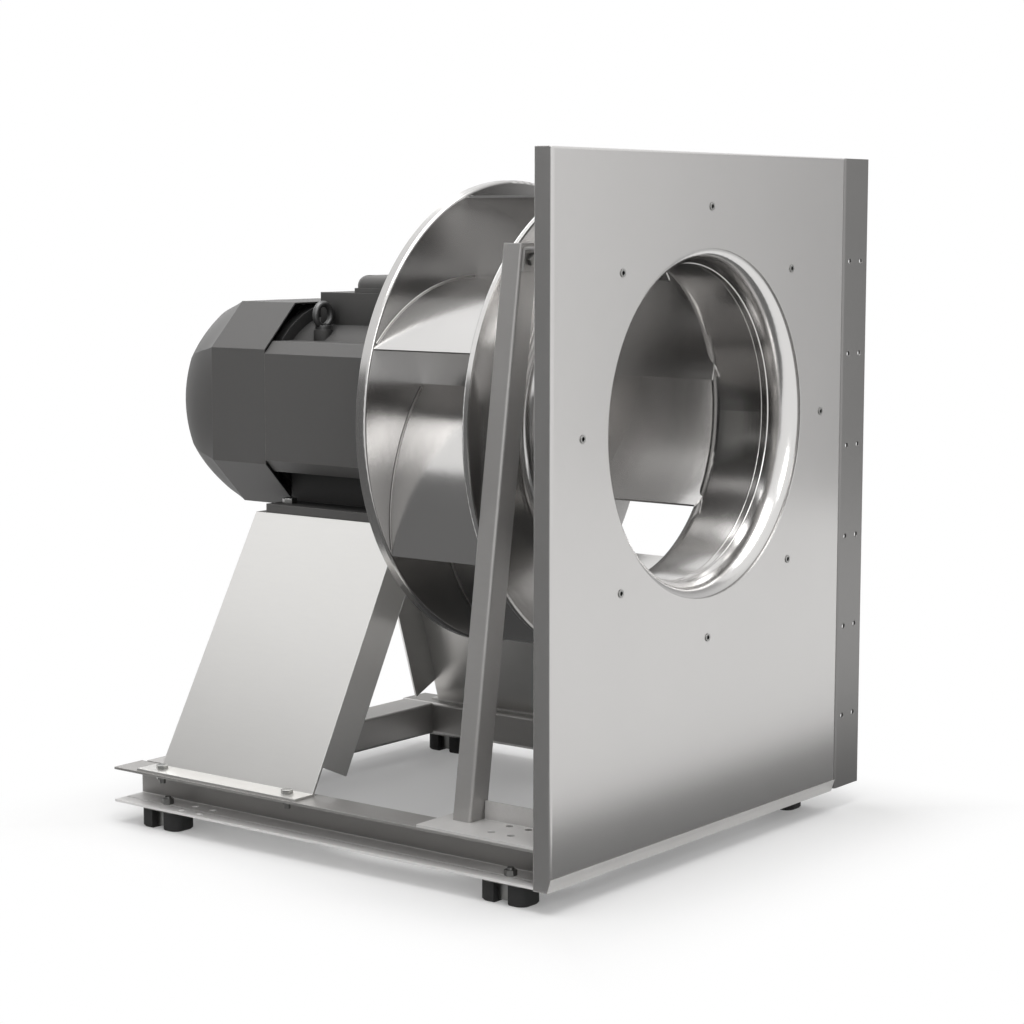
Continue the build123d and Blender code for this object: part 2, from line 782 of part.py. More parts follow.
# Motor frame: a round core with side flats, feet and the terminal box's pad
with BuildPart() as motor_frame:
    with BuildSketch(across(frame_front_y)):
        Circle(frame_core_r)
        with BuildLine():
            Polyline(
                (-frame_half, -frame_flat_half),
                (-frame_half, frame_flat_half),
                (-frame_half + frame_chamfer, frame_flat_half + frame_chamfer),
                (frame_half - frame_chamfer, frame_flat_half + frame_chamfer),
                (frame_half, frame_flat_half),
                (frame_half, -frame_flat_half),
                (frame_half - frame_chamfer, -frame_flat_half - frame_chamfer),
                (-frame_half + frame_chamfer, -frame_flat_half - frame_chamfer),
                close=True,
            )
        make_face()
    extrude(amount=-frame_length)
    # feet and the webs that carry them
    foot_mid_x = (foot_half_width + foot_inner_x) / 2
    foot_y = (foot_front_y + foot_rear_y) / 2
    with BuildSketch(Plane.XY.offset(-shaft_height)):
        with Locations((-foot_mid_x, foot_y), (foot_mid_x, foot_y)):
            Rectangle(foot_half_width - foot_inner_x, foot_rear_y - foot_front_y)
    extrude(amount=foot_thickness)
    with BuildSketch(Plane.XY.offset(-shaft_height)):
        web_x = foot_inner_x + foot_web / 2
        with Locations((-web_x, foot_y), (web_x, foot_y)):
            Rectangle(foot_web, foot_rear_y - foot_front_y)
    extrude(amount=shaft_height - frame_flat_half)
    # pad under the terminal box, with the cable way down into the frame
    with BuildSketch(Plane.XY.offset(frame_flat_half)):
        with Locations((0, frame_front_y + pad_front_inset + pad_length / 2)):
            Rectangle(2 * box_half_width, pad_length)
    extrude(amount=pad_top - frame_flat_half)
    # boss under the lifting eye
    with BuildSketch(Plane.XY.offset(frame_flat_half)):
        with Locations((eye_x, frame_rear_y - eye_inset)):
            Circle(eye_collar_r + eye_boss_rim)
    extrude(amount=eye_pad_z - frame_flat_half)
    with BuildSketch(Plane.XY.offset(eye_pad_z)):
        with Locations((eye_x, frame_rear_y - eye_inset)):
            Circle(eye_thread_r)
    extrude(amount=-eye_thread, mode=Mode.SUBTRACT)
    # bore, shield bolt holes, foot holes
    with BuildSketch(across(frame_front_y)):
        Circle(frame_bore_r)
    extrude(amount=-frame_length, mode=Mode.SUBTRACT)
    with BuildSketch(across(frame_front_y), facing_back(frame_rear_y)):
        with PolarLocations(shield_bolt_circle_r, shield_bolt_count, start_angle=45):
            Circle(shield_bolt_r)
    extrude(amount=-shield_bolt_depth, mode=Mode.SUBTRACT)
    with BuildSketch(Plane.XY.offset(-shaft_height)):
        with Locations((0, (foot_hole_front_y + foot_hole_rear_y) / 2)):
            with GridLocations(foot_hole_pitch_x, foot_hole_pitch_y, 2, 2):
                Circle(foot_hole_r)
    extrude(amount=foot_thickness, mode=Mode.SUBTRACT)
    with BuildSketch(Plane.XY.offset(pad_top)):
        with Locations((0, box_y)):
            Rectangle(box_half_width, box_length / 2)
    extrude(amount=-(pad_top - frame_flat_half), mode=Mode.SUBTRACT)
    with BuildSketch(gland_plane):
        Circle(gland_thread_r)
    extrude(amount=-gland_thread, mode=Mode.SUBTRACT)
save(motor_frame.part, "motor_frame")

# Drive end shield: closes the frame's front end and holds the front bearing
with BuildPart() as drive_end_shield:
    with BuildSketch():
        with BuildLine():
            Polyline(
                (bearing_outer_r, front_bearing_y),
                (bearing_outer_r, front_bearing_y + bearing_width),
                (shield_hub_r, front_bearing_y + bearing_width),
                (shield_hub_r, frame_front_y - shield_wall),
                (frame_bore_r - shield_wall, frame_front_y - shield_wall / 2),
                (frame_bore_r - shield_wall, frame_front_y + shield_spigot),
                (frame_bore_r, frame_front_y + shield_spigot),
                (frame_bore_r, frame_front_y),
                (shield_rim_r, frame_front_y),
                (shield_rim_r, frame_front_y - shield_wall),
                (frame_bore_r - shield_wall, frame_front_y - shield_wall),
                (shield_hub_r + shield_wall, shield_front_y),
                (bearing_bore_r + shield_play, shield_front_y),
                (bearing_bore_r + shield_play, front_bearing_y),
                close=True,
            )
        make_face()
    revolve(axis=Axis.Y)
    with BuildSketch(across(frame_front_y)):
        with PolarLocations(shield_bolt_circle_r, shield_bolt_count, start_angle=45):
            Circle(shield_bolt_r)
    extrude(amount=shield_wall, mode=Mode.SUBTRACT)
save(drive_end_shield.part, "drive_end_shield")

# Rear end shield: holds the rear bearing and carries the cowl on its rim
rear_bearing_end_y = rear_bearing_y + bearing_width
with BuildPart() as rear_end_shield:
    with BuildSketch():
        with BuildLine():
            Polyline(
                (cooling_fan_seat_r + shield_play, rear_bearing_end_y),
                (bearing_outer_r, rear_bearing_end_y),
                (bearing_outer_r, rear_bearing_y),
                (shield_hub_r, rear_bearing_y),
                (shield_hub_r, frame_rear_y),
                (frame_bore_r - shield_wall, frame_rear_y),
                (frame_bore_r - shield_wall, frame_rear_y - shield_spigot),
                (frame_bore_r, frame_rear_y - shield_spigot),
                (frame_bore_r, frame_rear_y),
                (frame_half - cowl_wall, frame_rear_y),
                (frame_half - cowl_wall, frame_rear_y + cowl_seat),
                (cooling_fan_seat_r + shield_play, frame_rear_y + cowl_seat),
                close=True,
            )
        make_face()
    revolve(axis=Axis.Y)
    with BuildSketch(across(frame_rear_y)):
        with PolarLocations(shield_bolt_circle_r, shield_bolt_count, start_angle=45):
            Circle(shield_bolt_r)
    extrude(amount=-cowl_seat, mode=Mode.SUBTRACT)
    for turn in cover_screw_turns:
        with BuildSketch(cowl_screw_plane(turn)):
            Circle(screw_r)
        extrude(amount=-screw_length, mode=Mode.SUBTRACT)
save(rear_end_shield.part, "rear_end_shield")

# Cowl over the cooling fan: eight flats that round off into a dome with a slotted grille
cowl_corner_r = math.hypot(frame_half, cowl_flat_half)
cowl_corner_angle = math.degrees(math.atan2(cowl_flat_half, frame_half))
cowl_slant_half = (frame_half + cowl_flat_half) / math.sqrt(2)


def cowl_point(radius, angle):
    """Point of a cross-section, at an angle in degrees anticlockwise from +X."""
    return radius * math.cos(math.radians(angle)), radius * math.sin(math.radians(angle))


def cowl_section(climb, wall):
    """Cross-section of the dome, climb degrees up from the flats. The flats turn into arcs on the way."""
    size = math.cos(math.radians(climb)) ** (2 / cowl_fullness)
    depth = math.sin(math.radians(climb)) ** (2 / cowl_fullness)
    roundness = math.sqrt(depth)
    corner = (cowl_corner_r + (frame_half - cowl_corner_r) * roundness) * size - wall
    slant = (cowl_slant_half + (frame_half - cowl_slant_half) * roundness) * size - wall
    flat = frame_half * size - wall
    with BuildSketch(across(cowl_flats_y + cowl_dome * depth - (wall if climb else 0))) as outline:
        with BuildLine():
            for quarter in range(4):
                start = 90 * quarter - cowl_corner_angle
                ends = (start, start + 2 * cowl_corner_angle, start + 90)
                for first, last, middle in ((ends[0], ends[1], flat), (ends[1], ends[2], slant)):
                    if climb == 0:
                        Line(cowl_point(corner, first), cowl_point(corner, last))
                    else:
                        ThreePointArc(
                            cowl_point(corner, first),
                            cowl_point(middle, (first + last) / 2),
                            cowl_point(corner, last),
                        )
        make_face()
    return outline.sketch.face()


def cowl_body(wall):
    """The cowl's outer body with wall 0, or its hollow with the sheet's thickness."""
    with BuildPart() as body:
        loft([cowl_section(cowl_end_angle * step / cowl_steps, wall) for step in range(cowl_steps + 1)])
        extrude(body.faces().sort_by(Axis.Y)[0], amount=cowl_flat_length)
    return body.part


cowl_end_depth = cowl_dome * math.sin(math.radians(cowl_end_angle)) ** (2 / cowl_fullness)
cowl_rear_y = cowl_flats_y + cowl_end_depth
with BuildPart() as fan_cowl:
    add(cowl_body(0))
    add(cowl_body(cowl_wall), mode=Mode.SUBTRACT)
    with BuildSketch(facing_back(cowl_rear_y - cowl_wall * 2)):
        with PolarLocations((grille_inner_r + grille_outer_r) / 2, grille_slots):
            Rectangle(grille_outer_r - grille_inner_r, grille_slot_width)
    extrude(amount=cowl_wall * 3, mode=Mode.SUBTRACT)
    for turn in cover_screw_turns:
        with BuildSketch(cowl_screw_plane(turn)):
            Circle(screw_r)
        extrude(amount=-screw_length, mode=Mode.SUBTRACT)
save(fan_cowl.part, "fan_cowl")

# Cooling fan on the shaft's tail
fan_y = frame_rear_y + cooling_fan_gap
with BuildPart() as cooling_fan:
    with BuildSketch(across(fan_y)):
        Circle(cooling_fan_r)
        Circle(cooling_fan_seat_r, mode=Mode.SUBTRACT)
    extrude(amount=-cooling_fan_disc)
    with BuildSketch(across(fan_y)):
        Circle(cooling_fan_seat_r + cooling_fan_hub)
        Circle(cooling_fan_seat_r, mode=Mode.SUBTRACT)
    extrude(amount=-cooling_fan_blade)
    with BuildSketch(across(fan_y)):
        blade_start_r = cooling_fan_seat_r + cooling_fan_hub / 2
        with PolarLocations((cooling_fan_r + blade_start_r) / 2, cooling_fan_blades):
            Rectangle(cooling_fan_r - blade_start_r, cooling_fan_sheet)
    extrude(amount=-cooling_fan_blade)
save(cooling_fan.part, "cooling_fan")

# Terminal box on the frame's pad, open on top, with a cable way in its floor
with BuildPart() as terminal_box:
    with BuildSketch(Plane.XY.offset(pad_top)):
        with Locations((0, box_y)):
            RectangleRounded(2 * box_half_width, box_length, box_wall)
    extrude(amount=box_height)
    with BuildSketch(Plane.XY.offset(pad_top + box_wall)):
        with Locations((0, box_y)):
            Rectangle(2 * (box_half_width - box_wall), box_length - 2 * box_wall)
    extrude(amount=box_height, mode=Mode.SUBTRACT)
    with BuildSketch(Plane.XY.offset(pad_top)):
        with Locations((0, box_y)):
            Rectangle(box_half_width, box_length / 2)
    extrude(amount=box_wall, mode=Mode.SUBTRACT)
    with BuildSketch(Plane.XY.offset(pad_top + box_height)):
        with Locations((0, box_y)):
            with GridLocations(lid_screw_x, lid_screw_y, 2, 2):
                Circle(screw_r * 2)
    extrude(amount=-box_height)
    with BuildSketch(Plane.XY.offset(pad_top + box_height)):
        with Locations((0, box_y)):
            with GridLocations(lid_screw_x, lid_screw_y, 2, 2):
                Circle(screw_r)
    extrude(amount=-box_height, mode=Mode.SUBTRACT)
save(terminal_box.part, "terminal_box")

# Terminal box lid: a tray with well-rounded edges, upside down
lid_z = pad_top + box_height
with BuildPart() as terminal_box_lid:
    with BuildSketch(Plane.XY.offset(lid_z)):
        with Locations((0, box_y)):
            RectangleRounded(2 * box_half_width, box_length, lid_corner_r)
    extrude(amount=lid_height)
    fillet(terminal_box_lid.edges().group_by(Axis.Z)[-1], radius=lid_round)
    offset(amount=-box_wall / 2, openings=terminal_box_lid.faces().sort_by(Axis.Z)[0])
    with BuildSketch(Plane.XY.offset(lid_z)):
        with Locations((0, box_y)):
            with GridLocations(lid_screw_x, lid_screw_y, 2, 2):
                Circle(lid_boss_r)
    extrude(amount=lid_height)
    with BuildSketch(Plane.XY.offset(lid_z + lid_height)):
        with Locations((0, box_y)):
            with GridLocations(lid_screw_x, lid_screw_y, 2, 2):
                Circle(screw_r * 2)
    extrude(amount=-lid_screw_sink, mode=Mode.SUBTRACT)
    with BuildSketch(Plane.XY.offset(lid_z)):
        with Locations((0, box_y)):
            with GridLocations(lid_screw_x, lid_screw_y, 2, 2):
                Circle(screw_r)
    extrude(amount=lid_height, mode=Mode.SUBTRACT)
save(terminal_box_lid.part, "terminal_box_lid")

# Terminal board with six studs, behind the cable way
board_y = box_y + box_length / 2 - box_wall - board_depth / 2
with BuildPart() as terminal_board:
    with BuildSketch(Plane.XY.offset(pad_top + box_wall)):
        with Locations((0, board_y)):
            Rectangle(board_width, board_depth)
    extrude(amount=board_height)
    with BuildSketch(Plane.XY.offset(pad_top + box_wall + board_height)):
        with Locations((0, board_y)):
            with GridLocations(board_width / 3, board_depth / 2, 3, 2):
                Circle(screw_r)
    extrude(amount=stud_height)
save(terminal_board.part, "terminal_board")

# Cable gland in the pad's right side: a collar, a nut and a bore for the cable
with BuildPart(gland_plane) as cable_gland:
    with BuildSketch(gland_plane):
        RegularPolygon(radius=gland_r, side_count=6)
    extrude(amount=gland_length / 2)
    with BuildSketch(gland_plane):
        Circle(gland_nose_r)
    extrude(amount=gland_length)
    chamfer(cable_gland.edges().group_by(Axis.X)[-1], length=gland_chamfer)
    with BuildSketch(gland_plane):
        Circle(gland_thread_r)
    extrude(amount=-gland_thread)
    with BuildSketch(gland_plane.offset(gland_length)):
        Circle(gland_bore_r)
    extrude(amount=-gland_length - gland_thread, mode=Mode.SUBTRACT)
save(cable_gland.part, "cable_gland")

# Lifting eye screwed into the boss on the frame
eye_y = frame_rear_y - eye_inset
with BuildPart() as lifting_eye:
    with BuildSketch(Plane.XY.offset(eye_pad_z)):
        with Locations((eye_x, eye_y)):
            Circle(eye_collar_r)
    extrude(amount=eye_collar)
    with Locations((eye_x, eye_y, eye_pad_z + eye_ring_r + eye_wire_r)):
        Torus(eye_ring_r, eye_wire_r, rotation=(90, 0, 0))
    with BuildSketch(Plane.XY.offset(eye_pad_z)):
        with Locations((eye_x, eye_y)):
            Circle(eye_thread_r)
    extrude(amount=-eye_thread)
save(lifting_eye.part, "lifting_eye")


# Base frame. The left and right members differ in which way they face.
def rail(outer_x, inward):
    """Rail with its two flanges turned outwards; a shallow groove runs along the lower one."""
    with BuildPart() as member:
        with BuildSketch(across(plate_return)):
            with BuildLine():
                FilletPolyline(
                    (outer_x, rail_top_z),
                    (outer_x + inward * rail_flange, rail_top_z),
                    (outer_x + inward * rail_flange, rail_z),
                    (outer_x, rail_z),
                    radius=bend_r,
                )
                offset(amount=sheet, side=Side.RIGHT if inward > 0 else Side.LEFT)
            make_face()
        extrude(amount=-(rail_end_y - plate_return))
        with BuildSketch(across(plate_return)):
            with Locations((outer_x + inward * rail_groove_x, rail_z + sheet)):
                Rectangle(rail_groove_width, 2 * rail_groove_depth)
        extrude(amount=-(rail_end_y - plate_return), mode=Mode.SUBTRACT)
        # holes for the pedestal bolts and the corner plate's outer pair
        with BuildSketch(Plane.XY.offset(rail_top_z)):
            fold_x = math.copysign(pedestal_bottom_x, outer_x)
            bolt_x = fold_x - inward * pedestal_bolt_x
            with Locations((bolt_x, pedestal_bolt_front_y), (bolt_x, pedestal_bolt_rear_y)):
                Circle(bolt_small_r)
            hole_x = outer_x + inward * corner_hole_x
            with Locations((hole_x, corner_hole_y), (hole_x, corner_hole_y + corner_hole_pitch_y)):
                Circle(corner_hole_r)
        extrude(amount=-sheet, mode=Mode.SUBTRACT)
        # holes for the feet and the spare pattern at the back
        with BuildSketch(Plane.XY.offset(rail_z)):
            foot_x = outer_x + inward * isolator_edge
            with Locations((foot_x, isolator_front_y), (foot_x, isolator_rear_y)):
                Circle(bolt_small_r)
            spare_x = outer_x + inward * (spare_hole_x + spare_hole_pitch_x / 2)
            with Locations((spare_x, spare_hole_y + spare_hole_pitch_y / 2)):
                with GridLocations(spare_hole_pitch_x, spare_hole_pitch_y, 2, 2):
                    Circle(spare_hole_r)
        extrude(amount=sheet, mode=Mode.SUBTRACT)
    return member.part


save(rail(-plate_left, 1), "rail_left")
save(rail(plate_right, -1), "rail_right")


def cross_member(front_y, bottom_z):
    """Cross-member between the rails' webs, open towards the back."""
    with BuildPart() as member:
        with BuildSketch(Plane.YZ.offset(web_left_x)):
            with BuildLine():
                FilletPolyline(
                    (front_y + cross_flange, rail_top_z),
                    (front_y, rail_top_z),
                    (front_y, bottom_z),
                    (front_y + cross_flange, bottom_z),
                    radius=bend_r,
                )
                offset(amount=sheet, side=Side.LEFT)
            make_face()
        extrude(amount=web_right_x - web_left_x)
    return member.part


save(cross_member(sheet, -plate_face_bottom + sheet), "cross_member_front")
save(cross_member(cross_rear_y, rail_z), "cross_member_rear")

# How far the struts lean forwards for each millimetre of height
strut_lean = (strut_foot_y - strut_top_y) / (strut_top - corner_top_z)


def corner_plate(outer_x, inward):
    """Plate on the rail's front end, with an upstand that stiffens the strut's foot."""
    with BuildPart() as corner:
        with BuildSketch(across(plate_return)):
            with BuildLine():
                FilletPolyline(
                    (outer_x, rail_top_z),
                    (outer_x + inward * corner_width, rail_top_z),
                    (outer_x + inward * corner_width, rail_top_z + corner_upstand),
                    radius=bend_r,
                )
                offset(amount=sheet, side=Side.LEFT if inward > 0 else Side.RIGHT)
            make_face()
        extrude(amount=-(corner_end_y - plate_return))
        # the upstand ends at the strut's front leg
        upstand_end_y = strut_foot_y - strut_lean * corner_upstand
        with BuildSketch(Plane.XY.offset(corner_top_z)):
            with Locations((outer_x + inward * corner_width, (upstand_end_y + corner_end_y) / 2)):
                Rectangle(4 * sheet, corner_end_y - upstand_end_y)
        extrude(amount=corner_upstand, mode=Mode.SUBTRACT)
        with BuildSketch(Plane.XY.offset(rail_top_z)):
            middle_x = outer_x + inward * (corner_hole_x + corner_hole_pitch_x / 2)
            with Locations((middle_x, corner_hole_y + corner_hole_pitch_y / 2)):
                with GridLocations(corner_hole_pitch_x, corner_hole_pitch_y, 2, 2):
                    Circle(corner_hole_r)
        extrude(amount=sheet, mode=Mode.SUBTRACT)
    return corner.part


save(corner_plate(-plate_left, 1), "corner_plate_left")
save(corner_plate(plate_right, -1), "corner_plate_right")


def strut_face(x, z):
    """Plane on the front of a strut's front leg at height z, normal forwards."""
    y = strut_top_y + strut_lean * (strut_top - z)
    return Plane(origin=(x, y, z), x_dir=(1, 0, 0), z_dir=(0, -1, -strut_lean))


bracket_z = strut_top - bracket_step
strut_bolt_z = bracket_z - top_bracket_height / 2


def strut(outer_x, inward):
    """Angle that leans from the corner plate to behind the plate's upper part."""
    ridge_x = outer_x + inward * strut_edge
    foot = Plane(origin=(ridge_x, strut_foot_y, corner_top_z), x_dir=(1, 0, 0), z_dir=(0, -strut_lean, 1))
    with BuildPart() as member:
        with BuildSketch(foot.offset(-strut_leg)):
            with BuildLine():
                FilletPolyline(
                    (inward * strut_leg, 0),
                    (0, 0),
                    (0, strut_side_leg),
                    radius=bend_r,
                )
                offset(amount=sheet, side=Side.RIGHT if inward > 0 else Side.LEFT)
            make_face()
        extrude(amount=strut_top - corner_top_z + 2 * strut_leg)
        split(bisect_by=Plane.XY.offset(strut_top), keep=Keep.BOTTOM)
        split(bisect_by=Plane.XY.offset(corner_top_z), keep=Keep.TOP)
        with BuildSketch(strut_face(ridge_x + inward * strut_leg / 2, strut_bolt_z)):
            Circle(bolt_small_r)
        extrude(amount=-2 * sheet, mode=Mode.SUBTRACT)
    return member.part


save(strut(-plate_left, 1), "strut_left")
save(strut(plate_right, -1), "strut_right")

# Brackets between the plate's back and the struts' tops
strut_columns = (-plate_left + strut_edge + strut_leg / 2, plate_right - strut_edge - strut_leg / 2)
with BuildPart() as strut_top_brackets:
    bracket_y = strut_top_y + strut_lean * (strut_top - bracket_z)
    for x in strut_columns:
        with BuildSketch(Plane.YZ.offset(x)):
            with BuildLine():
                FilletPolyline(
                    (sheet, bracket_z - top_bracket_height),
                    (sheet, bracket_z),
                    (bracket_y, bracket_z),
                    (bracket_y + strut_lean * top_bracket_height, bracket_z - top_bracket_height),
                    radius=bend_r,
                )
                offset(amount=sheet, side=Side.RIGHT)
            make_face()
        extrude(amount=bracket_width / 2, both=True)
        with BuildSketch(strut_face(x, strut_bolt_z)):
            Circle(bolt_small_r)
        extrude(amount=2 * sheet, mode=Mode.SUBTRACT)
save(strut_top_brackets.part, "strut_top_brackets")

# Pedestal sides: a sloping sheet with a flange under the motor, two side flanges and a foot flange
pedestal_top_z = -shaft_height
pedestal_run = pedestal_bottom_x - pedestal_top_x
pedestal_fall = pedestal_top_z - corner_top_z
pedestal_slope = math.hypot(pedestal_run, pedestal_fall)
pedestal_top_front_y = foot_front_y - pedestal_margin_front
pedestal_top_rear_y = foot_rear_y + pedestal_margin_rear


def pedestal_side(side, edge_x):
    """side is -1 on the left and 1 on the right; edge_x is where the foot flange ends."""
    slope = Plane(
        origin=(side * pedestal_top_x, 0, pedestal_top_z),
        x_dir=(0, 1, 0),
        z_dir=(side * pedestal_fall, 0, pedestal_run),
    )
    down = -side * pedestal_slope
    stop = down * (1 - pedestal_side_stop / pedestal_fall)
    front_lean = (pedestal_bottom_front_y - pedestal_top_front_y) * stop / down
    rear_lean = (pedestal_bottom_rear_y - pedestal_top_rear_y) * stop / down
    with BuildPart() as part:
        with BuildSketch(slope):
            with BuildLine():
                Polyline(
                    (pedestal_top_front_y, 0),
                    (pedestal_top_rear_y, 0),
                    (pedestal_bottom_rear_y, down),
                    (pedestal_bottom_front_y, down),
                    close=True,
                )
            make_face()
        extrude(amount=-sheet)
        # side flanges, folded square to the sheet along its front and rear edges
        with BuildSketch(slope):
            with BuildLine():
                Polyline(
                    (pedestal_top_front_y, 0),
                    (pedestal_top_front_y + sheet, 0),
                    (pedestal_top_front_y + sheet + front_lean, stop),
                    (pedestal_top_front_y + front_lean, stop),
                    close=True,
                )
            make_face()
            with BuildLine():
                Polyline(
                    (pedestal_top_rear_y - sheet, 0),
                    (pedestal_top_rear_y, 0),
                    (pedestal_top_rear_y + rear_lean, stop),
                    (pedestal_top_rear_y - sheet + rear_lean, stop),
                    close=True,
                )
            make_face()
        extrude(amount=-pedestal_side_flange)
        # nothing of the sheet or its flanges stands above the motor's feet
        with BuildSketch(Plane.XY.offset(pedestal_top_z)):
            with Locations((side * pedestal_top_x, (pedestal_top_front_y + pedestal_top_rear_y) / 2)):
                Rectangle(4 * pedestal_side_flange, 2 * (pedestal_top_rear_y - pedestal_top_front_y))
        extrude(amount=pedestal_side_flange, mode=Mode.SUBTRACT)
        # flange under the motor's feet
        with BuildSketch(Plane.XY.offset(pedestal_top_z)):
            flange_x = side * (pedestal_top_x - pedestal_flange_in / 2)
            with Locations((flange_x, (pedestal_top_front_y + pedestal_top_rear_y) / 2)):
                Rectangle(pedestal_flange_in, pedestal_top_rear_y - pedestal_top_front_y)
        extrude(amount=-sheet)
        with BuildSketch(Plane.XY.offset(pedestal_top_z)):
            foot_x = side * foot_hole_pitch_x / 2
            with Locations((foot_x, foot_hole_front_y), (foot_x, foot_hole_rear_y)):
                Circle(bolt_large_r)
        extrude(amount=-sheet, mode=Mode.SUBTRACT)
        # foot flange on the rail
        foot_rear = pedestal_bottom_rear_y + pedestal_foot_rear
        with BuildSketch(Plane.XY.offset(rail_top_z)):
            inner_x = side * (pedestal_bottom_x - sheet)
            with Locations(((inner_x + edge_x) / 2, (pedestal_bottom_front_y + foot_rear) / 2)):
                Rectangle(abs(edge_x - inner_x), foot_rear - pedestal_bottom_front_y)
        extrude(amount=sheet)
        with BuildSketch(Plane.XY.offset(rail_top_z)):
            bolt_x = side * (pedestal_bottom_x + pedestal_bolt_x)
            with Locations((bolt_x, pedestal_bolt_front_y), (bolt_x, pedestal_bolt_rear_y)):
                Circle(bolt_small_r)
        extrude(amount=sheet, mode=Mode.SUBTRACT)
    return part.part


save(pedestal_side(-1, -plate_left + pedestal_edge), "pedestal_side_left")
save(pedestal_side(1, plate_right - pedestal_edge), "pedestal_side_right")

# Tie between the pedestal's two upper flanges
with BuildPart() as pedestal_tie:
    with BuildSketch(Plane.YZ.offset(-tie_half_length)):
        with BuildLine():
            FilletPolyline(
                (tie_y - tie_width / 2, pedestal_top_z - sheet - tie_depth),
                (tie_y - tie_width / 2, pedestal_top_z - sheet),
                (tie_y + tie_width / 2, pedestal_top_z - sheet),
                (tie_y + tie_width / 2, pedestal_top_z - sheet - tie_depth),
                radius=bend_r,
            )
            offset(amount=sheet, side=Side.RIGHT)
        make_face()
    extrude(amount=2 * tie_half_length)
save(pedestal_tie.part, "pedestal_tie")

# Anti-vibration feet: a bracket with a column, two rubber lobes and a bolt up through the rail
isolator_places = [
    (x, y)
    for x in (-plate_left + isolator_edge, plate_right - isolator_edge)
    for y in (isolator_front_y, isolator_rear_y)
]
with BuildPart() as isolator_brackets:
    with BuildSketch(Plane.XY.offset(rail_z)):
        with Locations(*isolator_places):
            RectangleRounded(isolator_width, isolator_length, isolator_round)
    extrude(amount=-sheet)
    with BuildSketch(Plane.XY.offset(rail_z)):
        with Locations(*isolator_places):
            Rectangle(isolator_column, isolator_column)
    extrude(amount=-(isolator_height - isolator_lift))
    with BuildSketch(Plane.XY.offset(rail_z)):
        with Locations(*isolator_places):
            Circle(bolt_small_r)
    extrude(amount=-isolator_thread, mode=Mode.SUBTRACT)
save(isolator_brackets.part, "isolator_brackets")

with BuildPart() as isolator_rubbers:
    with BuildSketch(Plane.XY.offset(floor_z)):
        with Locations(*isolator_places):
            RectangleRounded(isolator_width, isolator_length, isolator_round)
        with Locations(*isolator_places):
            Rectangle(isolator_width * 2, isolator_column, mode=Mode.SUBTRACT)
    extrude(amount=isolator_height - sheet)
    lobe_ends = isolator_rubbers.edges().filter_by(Axis.Y, reverse=True).group_by(Axis.Z)[0]
    chamfer(lobe_ends.filter_by(GeomType.CIRCLE), length=isolator_chamfer)
save(isolator_rubbers.part, "isolator_rubbers")

with BuildPart() as isolator_bolts:
    with BuildSketch(Plane.XY.offset(rail_z - isolator_thread)):
        with Locations(*isolator_places):
            Circle(bolt_small_r)
    extrude(amount=isolator_thread + isolator_bolt_stand)
    with Locations(*[(x, y, rail_z + sheet + bolt_small_r * nut_height) for x, y in isolator_places]):
        add(hex_nut(bolt_small_r))
save(isolator_bolts.part, "isolator_bolts")

# Bolts with nuts through the motor's feet and the pedestal's upper flanges
foot_bolt_places = [
    (x, y)
    for x in (-foot_hole_pitch_x / 2, foot_hole_pitch_x / 2)
    for y in (foot_hole_front_y, foot_hole_rear_y)
]
with BuildPart() as motor_foot_bolts:
    with Locations(*[(x, y, foot_thickness - shaft_height) for x, y in foot_bolt_places]):
        add(hex_bolt(bolt_large_r, bolt_large_length))
    with Locations(*[(x, y, pedestal_top_z - sheet) for x, y in foot_bolt_places]):
        add(hex_nut(bolt_large_r))
save(motor_foot_bolts.part, "motor_foot_bolts")

# Bolts with nuts through the pedestal's foot flanges and the rails
pedestal_bolt_places = [
    (side * (pedestal_bottom_x + pedestal_bolt_x), y)
    for side in (-1, 1)
    for y in (pedestal_bolt_front_y, pedestal_bolt_rear_y)
]
with BuildPart() as pedestal_bolts:
    with Locations(*[(x, y, corner_top_z) for x, y in pedestal_bolt_places]):
        add(hex_bolt(bolt_small_r, bolt_small_length))
    with Locations(*[(x, y, rail_top_z - sheet) for x, y in pedestal_bolt_places]):
        add(hex_nut(bolt_small_r))
save(pedestal_bolts.part, "pedestal_bolts")

# Bolts with nuts through the struts and their top brackets
with BuildPart() as strut_bolts:
    for x in strut_columns:
        with Locations(strut_face(x, strut_bolt_z).offset(sheet)):
            add(hex_bolt(bolt_small_r, bolt_small_length))
        with Locations(strut_face(x, strut_bolt_z).offset(-sheet)):
            add(hex_nut(bolt_small_r))
save(strut_bolts.part, "strut_bolts")

# Bolts through the side strip's leg into the plate's right return
with BuildPart(Plane.YZ.offset(plate_right + sheet)) as strip_bolts:
    with Locations((strip_bolt_y, strip_mid_z)):
        with GridLocations(strip_bolt_pitch, strip_bolt_pitch, 1, strip_bolt_count):
            add(hex_bolt(strip_bolt_r, strip_bolt_length))
save(strip_bolts.part, "strip_bolts")

# Bolts that hold the two end shields to the motor's frame
with BuildPart() as end_shield_bolts:
    with Locations(across(frame_front_y - shield_wall)):
        with PolarLocations(shield_bolt_circle_r, shield_bolt_count, start_angle=45):
            add(hex_bolt(shield_bolt_r, shield_wall + shield_bolt_depth))
    with Locations(facing_back(frame_rear_y + cowl_seat)):
        with PolarLocations(shield_bolt_circle_r, shield_bolt_count, start_angle=45):
            add(hex_bolt(shield_bolt_r, cowl_seat + shield_bolt_depth))
save(end_shield_bolts.part, "end_shield_bolts")

